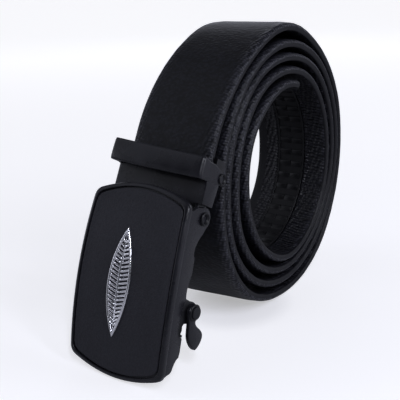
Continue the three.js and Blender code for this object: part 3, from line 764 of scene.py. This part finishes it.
def unit_bar(name, profile):
    """Bar one metre long across X, with the profile [(y, z)] in mm, its ends rounded in."""
    ends = ((-0.5, 0.55), (-0.49, 0.85), (-0.475, 1.0), (0.475, 1.0), (0.49, 0.85), (0.5, 0.55))
    bm = closed_skin([[(x, y * (0.6 + 0.4 * k), z * k) for y, z in np.array(profile) * MM] for x, k in ends])
    mesh = bpy.data.meshes.new(name)
    bm.to_mesh(mesh)
    bm.free()
    obj = bpy.data.objects.new(name, mesh)
    bpy.context.collection.objects.link(obj)
    return obj


def joined(name, objects, smooth_angle=40):
    """One object holding the meshes and materials of several."""
    bm = bmesh.new()
    materials = []
    for obj in objects:
        own = [m for m in obj.data.materials]
        before = len(bm.faces)
        bm.from_mesh(obj.data)
        bm.faces.ensure_lookup_table()
        for face in bm.faces[before:]:
            material = own[face.material_index] if own else None
            if material not in materials:
                materials.append(material)
            face.material_index = materials.index(material)
        bpy.data.objects.remove(obj)
    mesh = bpy.data.meshes.new(name)
    bm.to_mesh(mesh)
    bm.free()
    for material in materials:
        mesh.materials.append(material)
    result = bpy.data.objects.new(name, mesh)
    bpy.context.collection.objects.link(result)
    smooth(result, smooth_angle)
    return result


def make_track(tree):
    """Toothed strip: a thin base with raised side rails, and two saw teeth side by side at every pitch."""
    lengths = np.arange(TRACK_START, TRACK_END + 0.01, 1.0)
    point, _, out = path.frame(lengths)
    foot = -STRAP_THICK / 2 + 0.12
    section = [
        (-6.5, foot), (-6.5, foot - 0.75), (-6.35, foot - 0.9), (-5.75, foot - 0.9), (-5.6, foot - 0.75),
        (-5.6, foot - 0.42), (5.6, foot - 0.42), (5.6, foot - 0.75), (5.75, foot - 0.9), (6.35, foot - 0.9),
        (6.5, foot - 0.75), (6.5, foot),
    ]
    count = len(section)
    place = np.array([
        (x + HINGE.x / MM, p[0] + o[0] * n, p[1] + o[1] * n) for p, o in zip(point, out) for x, n in section
    ]) * MM
    index = np.arange(len(lengths) * count).reshape(len(lengths), count)
    nxt = np.roll(index, -1, axis=1)
    quads = np.stack([index[:-1], index[1:], nxt[1:], nxt[:-1]], axis=2).reshape(-1, 4)
    faces = quads.tolist() + [index[0].tolist(), index[-1][::-1].tolist()]
    base = new_object("track_base", place, faces, 40)
    face_outwards(base)
    base.data.materials.append(track_plastic)

    tooth = unit_bar("tooth", [
        (-1.5, -0.1), (-1.3, 0.36), (-1.1, 0.5), (-0.8, 0.55), (0.9, 0.18), (1.5, -0.05), (1.5, -0.1),
    ])
    spots = TRACK_START + TRACK_PITCH * (np.arange(int(TRACK_LENGTH / TRACK_PITCH)) + 0.5)
    point, along, out = path.frame(spots)
    n = foot - 0.40
    places, inward, forward = [], [], []
    for side in (-2.85, 2.85):
        middle = np.full(len(spots), HINGE.x / MM + side)
        places.append(np.stack([middle, point[:, 0] + out[:, 0] * n, point[:, 1] + out[:, 1] * n], axis=1) * MM)
        inward.append(np.stack([0 * spots, -out[:, 0], -out[:, 1]], axis=1))
        forward.append(np.stack([0 * spots, along[:, 0], along[:, 1]], axis=1))
    places, inward, forward = np.vstack(places), np.vstack(inward), np.vstack(forward)
    size = np.tile([5.3 * MM, 1.0, 1.0], (len(places), 1))
    teeth = bars_on("teeth", tree, tooth, track_plastic, places, forward, inward, size)
    bpy.data.objects.remove(tooth)
    whole = joined("toothed_track", [base, teeth])
    return dress(whole, None, "coil", "track_plastic", "ratchet_track")


# Face plate of the buckle


def bend_at(along):
    """How far the plate's middle stands in front of its ends there."""
    return PLATE_BEND * (1 - (2 * along / PLATE_LENGTH - 1) ** 2)


def plate_outline(inset, corner_steps=10):
    """Plate's outline drawn inwards by inset: (x, along) points, the same number for every inset."""
    half, low, high = PLATE_WIDTH / 2 - inset, inset, PLATE_LENGTH - inset

    def edge(k, t):
        """Point on side k, as a share t of the way along it."""
        rise = 1 - (2 * t - 1) ** 2
        return (
            (half * (2 * t - 1), low - PLATE_END_RISE * rise),
            (half + PLATE_SIDE_RISE * rise, low + (high - low) * t),
            (half * (1 - 2 * t), high + PLATE_END_RISE * rise),
            (-half - PLATE_SIDE_RISE * rise, high - (high - low) * t),
        )[k]

    lengths = [2 * half, high - low, 2 * half, high - low]
    points = []
    for k in range(4):
        from_corner = PLATE_CORNER / lengths[k]
        steps = 22 if k % 2 == 0 else 30
        for i in range(steps + 1):
            points.append(edge(k, from_corner + (1 - 2 * from_corner) * i / steps))
        start = np.array(points[-1])
        corner = np.array(edge(k, 1))
        following = (k + 1) % 4
        end_point = np.array(edge(following, PLATE_CORNER / lengths[following]))
        for i in range(1, corner_steps):
            t = i / corner_steps
            points.append(tuple((1 - t) ** 2 * start + 2 * t * (1 - t) * corner + t * t * end_point))
    return np.array(points)


def plate_shell(profile, floors):
    """Closed bent shell. profile gives (inset, depth) pairs round its rim from the back to the front,
    and both its ends are filled inwards at the depths of floors."""
    rings = []

    def ring(outline, depth):
        x, along = outline.T
        return np.stack([x, depth - bend_at(along) - EAR_DEPTH, along - EAR_ALONG], axis=1)

    middle = np.array([0, PLATE_LENGTH / 2])
    shares = (0.05, 0.15, 0.3, 0.45, 0.6, 0.75, 0.88)
    back, front = plate_outline(profile[0][0]), plate_outline(profile[-1][0])
    for share in shares:
        rings.append(ring(middle + (back - middle) * share, floors[0]))
    for inset, depth in profile:
        rings.append(ring(plate_outline(inset), depth))
    for share in shares[::-1]:
        rings.append(ring(middle + (front - middle) * share, floors[1]))
    return closed_skin(rings)


def wall_outline():
    """Side wall seen from the side: (depth, along) about the hinge, with the ear at its top."""
    back = [
        (2.7, 0.7), (4.3, 1.4), (5.6, 1.8), (6.4, 2.5), (6.8, 3.6), (7.4, 5.1), (8.2, 6.2), (9.3, 7.0),
        (9.6, 8.9), (9.5, 11.7), (9.4, 13.6), (7.2, 14.3), (6.4, 15.9), (6.5, 18.7), (7.0, 21.7),
        (7.1, 24.4), (8.2, 26.8),
        (7.9, 28.6), (7.9, 30.4), (8.3, 32.2), (8.9, 34.4), (9.3, 38.2), (9.1, 40.0), (8.6, 41.3), (8.4, 42.8),
        (8.6, 44.6), (9.5, 46.4), (10.7, 48.0), (12.0, 49.5),
    ]
    points = [(d - EAR_DEPTH, a - EAR_ALONG) for d, a in back]
    ear = 3.9
    for angle in np.linspace(-0.3, 0.62, 20) * math.pi:
        points.append((ear * math.cos(angle), ear * math.sin(angle)))
    for d, a in ((6.3, 57.9), (5.0, 57.2), (3.6, 56.6)):
        points.append((d - EAR_DEPTH, a - EAR_ALONG))
    for share in np.linspace(0.975, 0.01, 16):
        along = share * PLATE_LENGTH
        points.append((PLATE_THICK * 0.6 - bend_at(along) - EAR_DEPTH, along - EAR_ALONG))
    return points


def pawl_ear_outline():
    """Bracket behind each side wall: a round ear for the shaft, and a strip down the wall's back edge."""
    y, z = SHAFT
    root = 5.4 - EAR_DEPTH
    points = [
        (root, z + 5.2), (root, z - 8.8), (y - 2.5, z - 8.2), (y - 2.4, z - 7.5), (y - 3.6, z - 7.0),
        (y - 3.1, z - 5.7), (y - 3.3, z - 4.4), (y - 2.6, z - 3.6), (y - 1.2, z - 3.6),
    ]
    for angle in np.linspace(-0.4, 0.54, 14) * math.pi:
        points.append((y + 3.9 * math.cos(angle), z + 0.1 + 3.9 * math.sin(angle)))
    return points + [(y - 1.6, z + 4.4), (y - 3.4, z + 5.0)]


def mirrored_slabs(outline, low, high, edge=0.2):
    """A slab on the near side and its mirror image on the far side."""
    return [side_slab(outline, low, high, edge), side_slab(outline, -high, -low, edge)]


def make_housing(tilt):
    """Bent face plate with a raised rim, side walls and rear bar in one skin; the shaft's brackets apart."""
    plate = plate_shell([
        (0.3, 2.6), (0.1, 2.52), (0.0, 2.3), (0.0, 0.8), (0.05, 0.58), (0.18, 0.4), (0.4, 0.24), (0.7, 0.1),
        (0.95, 0.02), (1.1, 0.0), (1.25, 0.05), (1.33, 0.18), (1.36, 0.5), (1.38, 1.0),
    ], (2.6, 1.0))
    walls = mirrored_slabs(wall_outline(), WALL_INNER, WALL_OUTER, 0.28)
    low, foot = 8.2 - EAR_DEPTH, 34.8 - EAR_ALONG
    bar = side_slab(
        [(low, foot), (low + 1.4, foot), (low + 1.4, foot + 6.4), (low, foot + 6.4)],
        -WALL_OUTER + 0.3, WALL_OUTER - 0.3, 0.2,
    )
    housing = welded("buckle_body", [plate, *walls, bar], tilt, 38)
    dress(housing, satin_black, "buckle", "housing_metal", "buckle_housing")
    # The brackets get the darker paint as painted shade behind the side walls
    brackets = merged(mirrored_slabs(pawl_ear_outline(), WALL_INNER - 0.05, WALL_INNER + 1.0, 0.16))
    return dress(from_bmesh("shaft_brackets", brackets, tilt, 38), dark_steel_and_painted_shade, "buckle", "housing_metal")


def make_panel(tilt):
    """Panel set in the plate's rim."""
    panel = plate_shell([
        (2.0, 0.95), (1.93, 0.88), (1.9, 0.5), (1.93, 0.3), (2.03, 0.19), (2.2, 0.15), (2.5, 0.16), (2.8, 0.2),
    ], (0.95, 0.2))
    made = from_bmesh("panel_skin", panel, tilt, 50)
    return dress(made, panel_coat, "buckle", "panel_metal", "face_panel")


ORNAMENT_SIDE, ORNAMENT_ALONG = -1.5, 28.5
ORNAMENT_LENGTH, ORNAMENT_WIDTH = 38.0, 9.6


def lens_half(height):
    """Half width of the lens at a height above its middle."""
    radius = (ORNAMENT_LENGTH**2 + ORNAMENT_WIDTH**2) / (4 * ORNAMENT_WIDTH)
    return np.sqrt(np.maximum(0, radius**2 - height**2)) - (radius - ORNAMENT_WIDTH / 2)


def on_panel(x, along, lift, tilt):
    """Place on the bent panel, lift mm in front of it, in metres."""
    along = np.asarray(along, dtype=float)
    depth = 0.15 - lift - bend_at(along) - EAR_DEPTH
    return turned(np.stack([x + 0 * along, depth, along - EAR_ALONG], axis=1), tilt)


def make_ornament(tilt, tree):
    """Pierced lens: a rounded rim, a slim spine and slanting ribs between them."""
    turn = np.linspace(-math.pi / 2, math.pi / 2, 48)
    heights = ORNAMENT_LENGTH / 2 * np.sin(turn)
    right = np.stack([lens_half(heights), heights], axis=1)
    loop = np.vstack([right, (right * (-1, 1))[::-1][1:-1]])
    rim = []
    profile = [(0.0, 0.0), (0.0, 0.35), (0.2, 0.62), (0.5, 0.74), (0.8, 0.62), (1.0, 0.35), (1.0, 0.0)]
    for share, lift in profile:
        drawn = loop * (1 - share * 2.0 / ORNAMENT_WIDTH, 1 - share * 4.4 / ORNAMENT_LENGTH)
        rim.append(on_panel(drawn[:, 0] + ORNAMENT_SIDE, drawn[:, 1] + ORNAMENT_ALONG, lift, tilt))
    rim = np.stack(rim, axis=1)
    count, around = rim.shape[:2]
    index = np.arange(count * around).reshape(count, around)
    after = np.roll(index, -1, axis=0)
    faces = []
    for i in range(around):
        j = (i + 1) % around
        faces += np.stack([index[:, i], index[:, j], after[:, j], after[:, i]], axis=1).tolist()
    frame_ring = new_object("lens_rim", rim.reshape(-1, 3), faces, 60)
    face_outwards(frame_ring)
    frame_ring.data.materials.append(silver_plate)

    rib = unit_bar("rib", [
        (-0.42, 0.0), (-0.4, 0.28), (-0.24, 0.5), (0.0, 0.58), (0.24, 0.5), (0.4, 0.28), (0.42, 0.0),
    ])
    rows = np.linspace(-14.2, 14.2, 21)
    places, along, out, size = [], [], [], []
    for height in rows:
        half = float(lens_half(np.array(height)))
        for side in (-1, 1):
            reach = half - 0.75
            lean = 0.55
            inner, outer = np.array([side * 0.3, height - lean]), np.array([side * reach, height + lean])
            middle = (inner + outer) / 2
            step = np.linalg.norm(outer - inner)
            across = (outer - inner) / step * side
            spot = on_panel(middle[0] + ORNAMENT_SIDE, [middle[1] + ORNAMENT_ALONG], -0.02, tilt)[0]
            lifted = on_panel(middle[0] + ORNAMENT_SIDE, [middle[1] + ORNAMENT_ALONG], 0.98, tilt)[0]
            beside = middle + (ORNAMENT_SIDE - across[1], ORNAMENT_ALONG + across[0])
            low = on_panel(beside[0], beside[1:], -0.02, tilt)[0]
            places.append(spot)
            along.append(low - spot)
            out.append(lifted - spot)
            size.append((step * MM, 1.0, 1.0))
    ribs = bars_on("lens_ribs", tree, rib, silver_plate, places, along, out, size)

    spine_rows = np.linspace(-17.0, 17.0, 30)
    spine = []
    for across, lift in ((0.5, 0.0), (0.45, 0.5), (0.0, 0.78), (-0.45, 0.5), (-0.5, 0.0)):
        slim = np.cos(spine_rows / 17.0 * 1.35)
        height = lift * (0.5 + 0.5 * slim)
        spine.append(on_panel(ORNAMENT_SIDE + across * slim, spine_rows + ORNAMENT_ALONG, height, tilt))
    spine = np.stack(spine, axis=1)
    count, around = spine.shape[:2]
    index = np.arange(count * around).reshape(count, around)
    faces = [index[0].tolist(), index[-1][::-1].tolist()]
    for i in range(around):
        j = (i + 1) % around
        faces += np.stack([index[:-1, i], index[1:, i], index[1:, j], index[:-1, j]], axis=1).tolist()
    spine_bar = new_object("lens_spine", spine.reshape(-1, 3), faces, 60)
    face_outwards(spine_bar)
    spine_bar.data.materials.append(silver_plate)
    bpy.data.objects.remove(rib)
    whole = joined("lens_fret", [frame_ring, ribs, spine_bar], 50)
    return dress(whole, None, "buckle", "ornament_metal", "ornament")


# Pins, pawl and lever


def hollow_head(radius, thick, bore, depth):
    """Tubular rivet end: a rolled rim round a hollow. It starts inside the hole, as a stub of the bore's wall."""
    wall = bore + 0.3
    rim = [
        (wall + (radius - wall) * (0.5 + 0.5 * math.cos(t)), thick * (0.45 + 0.55 * math.sin(t)))
        for t in np.linspace(-0.3, math.pi - 0.25, 10)
    ]
    stub = [(0, -depth - 0.4), (wall, -depth - 0.4), (wall, 0), (radius - 0.1, 0)]
    return [*stub, *rim, (bore, 0.1), (bore, -depth), (0, -depth - 0.12)]


def make_hinge_pin():
    """Pin through the clamp and the buckle's ears, with a hollow head at each end."""
    end = WALL_OUTER + 0.1
    inner = end - 1.1
    parts = [
        turned_shape([(0, 0), (1.5, 0), (1.5, 2 * inner), (0, 2 * inner)], -inner, 1, sides=32),
        turned_shape(hollow_head(2.45, 0.8, 1.35, 0.9), end, 1),
        turned_shape(hollow_head(2.45, 0.8, 1.35, 0.9), -end, -1),
    ]
    made = welded("pivot_pin", parts, 0, 40)
    return dress(made, dark_steel_and_painted_shade, "coil", "pin_steel", "hinge_pin")


def make_pawl(tilt):
    """Shaft across the buckle, with the pawl's nose in one piece with it."""
    y, z = SHAFT
    nose = 7.6 - EAR_DEPTH
    half = WALL_INNER - 0.2
    points = [(nose, z - 4.5), (nose + 1.2, z - 5.5), (y - 1.4, z - 1.85)]
    for angle in np.linspace(-0.6, 0.6, 14) * math.pi:
        points.append((y + 2.3 * math.cos(angle), z + 2.3 * math.sin(angle)))
    points.append((nose + 2, z - 2.0))
    body = side_slab(points, -half, half, 0.25)
    reach = WALL_INNER + 1.0
    shaft = turned_shape(
        [(0, 0), (1.15, 0), (1.3, 0.15), (1.3, 2 * reach + 2.4), (0, 2 * reach + 2.4)], -reach - 1, 1, SHAFT, 32,
    )
    made = welded("catch_and_shaft", [body, shaft], tilt, 35)
    return dress(made, dark_steel_and_painted_shade, "pawl", "pin_steel", "pawl")


def lever_outline():
    """Leaf on a round boss, seen from the side: its front edge runs straight down from the boss."""
    y, z = SHAFT[0], SHAFT[1] + SCREW_LIFT
    points = []
    for angle in np.linspace(-0.2, 1.1, 22) * math.pi:
        points.append((y + 2.9 * math.cos(angle), z + 2.9 * math.sin(angle)))
    rest = [
        (y - 2.1, z - 2.9), (y - 1.7, z - 4.5), (y - 1.5, z - 6.2), (y - 1.2, z - 7.8), (y - 0.7, z - 9.3),
        (y + 0.5, z - 11.0), (y + 2.3, z - 12.6), (y + 4.3, z - 13.4), (y + 5.9, z - 12.3), (y + 7.1, z - 10.6),
        (y + 7.5, z - 8.9), (y + 7.0, z - 7.4), (y + 5.3, z - 6.1), (y + 3.4, z - 5.1), (y + 2.0, z - 3.9),
        (y + 1.9, z - 2.7),
    ]
    return rounded_path(points + rest)


def rounded_path(points, steps=3):
    """Closed smooth line through the points."""
    points = np.array(points)
    a, b, c, d = np.roll(points, 1, 0), points, np.roll(points, -1, 0), np.roll(points, -2, 0)
    out = []
    for k in range(len(points)):
        for t in np.arange(steps) / steps:
            out.append(through(a[k], b[k], c[k], d[k], t))
    return [tuple(p) for p in out]


def make_lever(tilt):
    leaf = side_slab(lever_outline(), LEVER_FACE, LEVER_FACE + 1.6, 0.42, 3)
    made = from_bmesh("release_leaf", leaf, tilt, 40)
    return dress(made, satin_black, "pawl", "lever_metal", "release_lever")


def make_screw(tilt):
    """Washer and low round head on the lever's boss."""
    centre = (SHAFT[0], SHAFT[1] + SCREW_LIFT)
    head = turned_shape([
        (0, 0), (2.8, 0), (2.95, 0.12), (2.95, 0.3), (2.8, 0.42), (2.3, 0.42), (2.3, 0.9), (2.22, 1.05),
        (2.0, 1.12), (1.0, 1.16), (0, 1.17),
    ], LEVER_FACE + 1.62, 1, centre, 48)
    made = from_bmesh("leaf_screw", head, tilt, 40)
    return dress(made, dark_steel_and_painted_shade, "pawl", "pin_steel", "lever_screw")


# Clamp


def bent_band():
    """Keeper loop and cheeks in one bent sheet, slightly domed and a little skewed across the strap."""
    sheet, corner = 1.3, 1.5
    heights = (0.0, 0.04, 0.12, 0.3, 0.5, 0.7, 0.88, 0.96, 1.0)
    rounded = {0.0: 0.22, 0.04: 0.05, 0.96: 0.05, 1.0: 0.22}
    near, far = face_reach(CLAMP_OUTER), face_reach(-CLAMP_OUTER)
    lug = JAW_PIN[0] + 2.4 * np.sin(np.linspace(math.pi / 2, 0, 8))
    whole = [(CLAMP_OUTER, depth, 0.0) for depth in lug]
    whole += [(CLAMP_OUTER, depth, 0.0) for depth in np.linspace(JAW_PIN[0] - 0.6, near + corner, 14)]
    for t in np.linspace(0, math.pi / 2, 9)[1:]:
        whole.append((CLAMP_OUTER - corner * (1 - math.cos(t)), near + corner * (1 - math.sin(t)), t))
    for x in np.linspace(CLAMP_OUTER - corner, corner - CLAMP_OUTER, 37)[1:-1]:
        whole.append((x, face_reach(x), math.pi / 2))
    for t in np.linspace(math.pi / 2, math.pi, 9):
        whole.append((-CLAMP_OUTER + corner * (1 + math.cos(t)), far + corner * (1 - math.sin(t)), t))
    whole += [(-CLAMP_OUTER, depth, math.pi) for depth in np.linspace(far + corner, JAW_PIN[0] - 0.6, 14)[1:]]
    whole += [(-CLAMP_OUTER, depth, math.pi) for depth in lug[::-1]]
    rings = []
    for x, depth, t in whole:
        inward = Vector((-math.cos(t), math.sin(t)))
        low, high = band_limits(x, depth)
        outer = []
        for share in heights:
            sunk = 0.34 * (2 * share - 1) ** 4 * math.sin(t) ** 2 + rounded.get(share, 0)
            lean = 0.5 * (1 - share) * max(-x / CLAMP_OUTER, 0) * math.sin(t)
            outer.append((x + inward.x * sunk, depth + inward.y * sunk - lean, low + (high - low) * share))
        inside = (x + inward.x * sheet, depth + inward.y * sheet)
        rings.append(outer + [(*inside, high - 0.02), (*inside, low + 0.02)])
    return closed_skin(rings)


def face_reach(x):
    """Depth of the keeper's front there: slightly domed, and further out at its far end."""
    share = x / CLAMP_OUTER
    return LOOP_FRONT + 0.15 + 0.45 * share - 0.45 * (1 - share**2)


def band_limits(x, depth):
    """Lower and upper edge of the bent sheet there: bowed on the front, a round lug at each rivet."""
    y, z = JAW_PIN
    skew = -0.06 * x * (1 - float(ramp(np.array(depth), -4.0, 1.0)))
    bow = 0.45 * (1 - (x / CLAMP_OUTER) ** 2)
    tall = 0.3 * max(-x / CLAMP_OUTER, 0)
    low, high = LOOP_FOOT - bow + skew - tall, LOOP_TOP - 0.1 * bow + skew + tall
    if depth > -7.0:
        slope = min(max((depth + 7.0) / (y + 8.4), 0), 1)
        high = high + (z + 1.94 - high) * slope
        low = low - 0.8 * float(ramp(np.array(depth), -4.0, 0.5))
    if depth > y:
        lug = math.sqrt(max(2.4**2 - (depth - y) ** 2, 0.0))
        low, high = z - max(lug, 0.25), z + max(lug, 0.25)
    return low, high


def make_clamp():
    """Front plate, arms, tongues at the hinge and the keeper loop in one skin."""
    face, top = PLATE_BACK - 0.8, LOOP_TOP - 1.5
    sheet = [(face, 4.5), (PLATE_BACK, 4.5), (PLATE_BACK, top), (face, top)]
    front = side_slab(sheet, -CLAMP_OUTER + 0.3, CLAMP_OUTER - 0.3, 0.2)
    arm = [(face, 4.5), (face + 6.65, 4.5), (face + 7.7, LOOP_FOOT + 0.3), (face, LOOP_FOOT + 0.3)]
    arms = mirrored_slabs(arm, CLAMP_INNER, CLAMP_OUTER - 0.25, 0.25)
    tongue = [(-2.5, 7.0)]
    tongue += [(2.5 * math.cos(t), 2.5 * math.sin(t)) for t in np.linspace(math.pi, 2 * math.pi, 20)]
    tongue += [(2.5, 7.0)]
    outer = WALL_INNER - 0.2
    tongues = mirrored_slabs(tongue, outer - 1.0, outer, 0.15)
    web = [(face, 4.5), (2.5, 4.5), (2.5, 7.0), (face, 7.0)]
    webs = mirrored_slabs(web, outer - 1.0, CLAMP_INNER + 0.2, 0.12)
    made = welded("clamp_and_loop", [front, bent_band(), *arms, *tongues, *webs], CLAMP_LEAN, 38)
    return dress(made, satin_black, "coil", "clamp_metal", "clamp_frame")


def make_jaw():
    """Jaw behind the strap's end: a back plate and two side flanges, in the darker paint as painted shade."""
    near = STRAP_THICK / 2 + 0.3
    foot, top = CLAMP_TO_HINGE, CLAMP_TO_HINGE + GRIP_LENGTH
    outer = CLAMP_INNER - 0.1
    y = JAW_PIN[0]
    low, high, inner = foot + 0.03, top - 0.03, near + 0.03
    plate = [(inner, low), (near + 0.75, low), (near + 0.75, high), (inner, high)]
    back = side_slab(plate, 0.03 - outer, outer - 0.03, 0.15)
    flange = [
        (near, foot), (y + 1.6, foot), (y + 2.4, top - 3.2), (y + 2.4, top - 0.6), (y + 2.1, top - 0.3),
        (near, top),
    ]
    flanges = mirrored_slabs(flange, outer - 0.75, outer, 0.16)
    # The jaw's darker paint is painted shade: a dark line behind the cheeks
    made = welded("grip_jaw", [back, *flanges], CLAMP_LEAN, 35)
    return dress(made, dark_steel_and_painted_shade, "coil", "jaw_metal", "clamp_jaw")


def make_jaw_rivet(name, node, side):
    head = turned_shape(hollow_head(2.1, 0.6, 1.2, 1.3), (CLAMP_OUTER + 0.05) * side, side, JAW_PIN, 36)
    made = from_bmesh(name, head, CLAMP_LEAN, 40)
    return dress(made, dark_steel_and_painted_shade, "coil", "pin_steel", node)


# Studio


def make_floor():
    """Pale floor that is lit from within for the camera, with a painted shadow under the middle of the belt."""
    floor = new_object("floor", [(-9, -9, 0), (9, -9, 0), (9, 9, 0), (-9, 9, 0)], [(0, 1, 2, 3)])
    material, tree = blank("lit_white_floor")
    place = add(tree, "ShaderNodeTexCoord")
    away = add(tree, "ShaderNodeVectorMath", {0: place.outputs["Object"]}, operation="LENGTH")
    floor_glow_and_painted_shadow = add(tree, "ShaderNodeValToRGB", {"Fac": away.outputs["Value"]})
    stops = floor_glow_and_painted_shadow.color_ramp.elements
    stops[0].color = (0.42, 0.42, 0.42, 1)
    stops[1].color = (0.86, 0.86, 0.86, 1)
    # The low stops near the middle paint a contact shadow into the floor's glow
    for away_m, level in ((0.019, 0.48), (0.028, 0.63), (0.07, 0.63), (0.3, 0.71)):
        stops.new(away_m).color = (level, level, level, 1)
    ray = add(tree, "ShaderNodeLightPath")
    seen = add(tree, "ShaderNodeMapRange", {
        "Value": ray.outputs["Is Camera Ray"], "To Min": 0.03, "To Max": floor_glow_and_painted_shadow.outputs[0],
    })
    shader = add(tree, "ShaderNodeBsdfPrincipled", {
        "Base Color": srgb("c8c8cc"), "Roughness": 0.9, "Specular IOR Level": 0.1,
        "Emission Color": srgb("fcfcfe"), "Emission Strength": seen.outputs[0],
    })
    add(tree, "ShaderNodeOutputMaterial", {"Surface": shader.outputs[0]})
    floor.data.materials.append(material)


def make_surround():
    """Pale backdrop for the camera; everything else sees a glow low down, strongest from the back left."""
    world = bpy.data.worlds.new("studio")
    bpy.context.scene.world = world
    world.use_nodes = True
    sky = world.node_tree
    sky.nodes.clear()
    seen = add(sky, "ShaderNodeBackground", {"Color": srgb("f7f8fc"), "Strength": 0.97})
    way = add(sky, "ShaderNodeTexCoord")
    height = add(sky, "ShaderNodeSeparateXYZ", {0: way.outputs["Generated"]})
    fade = add(sky, "ShaderNodeMapRange", {
        "Value": height.outputs[2], "From Min": 0.12, "From Max": 0.42, "To Min": 0.5, "To Max": 0.05,
    }, interpolation_type="SMOOTHSTEP")
    facing = add(sky, "ShaderNodeVectorMath", {
        0: way.outputs["Generated"], 1: (-0.8, 0.6, 0),
    }, operation="DOT_PRODUCT")
    swing = add(sky, "ShaderNodeMapRange", {
        "Value": facing.outputs["Value"], "From Min": -0.25, "From Max": 0.8, "To Min": 0.15, "To Max": 3.2,
    })
    level = add(sky, "ShaderNodeMath", {0: fade.outputs[0], 1: swing.outputs[0]}, operation="MULTIPLY")
    glow = add(sky, "ShaderNodeBackground", {"Color": srgb("e6e9f8"), "Strength": level.outputs[0]})
    ray = add(sky, "ShaderNodeLightPath")
    both = add(sky, "ShaderNodeMixShader", {
        0: ray.outputs["Is Camera Ray"], 1: glow.outputs[0], 2: seen.outputs[0],
    })
    add(sky, "ShaderNodeOutputWorld", {"Surface": both.outputs[0]})
    bpy.context.scene.view_settings.view_transform = "Standard"


def make_lamps():
    """Weak broad sun from the window side and five soft panels, aimed at the middle of the coil."""
    sun = bpy.data.lights.new("window", "SUN")
    sun.energy, sun.angle = 0.28, math.radians(50)
    lights = (
        ("left", (-0.82, -0.6, 0.34), (0.15, 0.3), 0.5),
        ("back", (-0.6, 0.95, 0.6), (0.5, 0.5), 0.8),
        ("strip", (0.42, -0.38, 0.56), (0.05, 0.45), 2.4),
        ("corner", (0.72, -0.16, 0.6), (0.05, 0.35), 1.4),
        ("right", (0.85, 0.3, 0.25), (0.4, 0.3), 3.0),
    )
    lamps = [("window", (-0.6, -0.35, 0.8), sun)]
    for name, place, size, power in lights:
        data = bpy.data.lights.new(name, "AREA")
        data.shape, (data.size, data.size_y), data.energy = "RECTANGLE", size, power
        lamps.append((name, place, data))
    for name, place, data in lamps:
        data.color = srgb("e9ecfa")[:3]
        lamp = bpy.data.objects.new(name, data)
        lamp.location = place
        lamp.rotation_euler = (Vector((0, 0, 0.05)) - Vector(place)).to_track_quat("-Z", "Y").to_euler()
        bpy.context.collection.objects.link(lamp)


def make_camera():
    """Camera at the photograph's place: 17 degrees above the floor, 36 degrees round from the front."""
    data = bpy.data.cameras.new("camera")
    data.sensor_width, data.lens = 36.0, 65.3
    camera = bpy.data.objects.new("camera", data)
    right = Vector((0.81925, 0.57237, -0.03501))
    up = Vector((-0.14385, 0.26423, 0.95367))
    back = Vector((0.5551, -0.77626, 0.2988))
    turn = Matrix((right, up, back)).transposed().to_4x4()
    camera.matrix_world = Matrix.Translation(Vector((152.67, -231.521, 131.653)) * MM) @ turn
    bpy.context.collection.objects.link(camera)
    bpy.context.scene.camera = camera


foot_drop = EAR_ALONG + PLATE_END_RISE
foot_ahead = EAR_DEPTH - PLATE_THICK + bend_at(-PLATE_END_RISE)
foot_reach = math.hypot(foot_drop, foot_ahead)
buckle_tilt = math.degrees(math.acos(min(1, HINGE.z / MM / foot_reach)) - math.atan2(foot_ahead, foot_drop))

make_camera()
make_floor()
make_surround()
make_lamps()
bars = bar_rows_tree()
make_strap()
make_track(bars)
make_clamp()
make_jaw()
make_jaw_rivet("near_rivet", "jaw_rivet_near", 1)
make_jaw_rivet("far_rivet", "jaw_rivet_far", -1)
make_hinge_pin()
make_housing(buckle_tilt)
make_panel(buckle_tilt)
make_ornament(buckle_tilt, bars)
make_pawl(buckle_tilt)
make_lever(buckle_tilt)
make_screw(buckle_tilt)
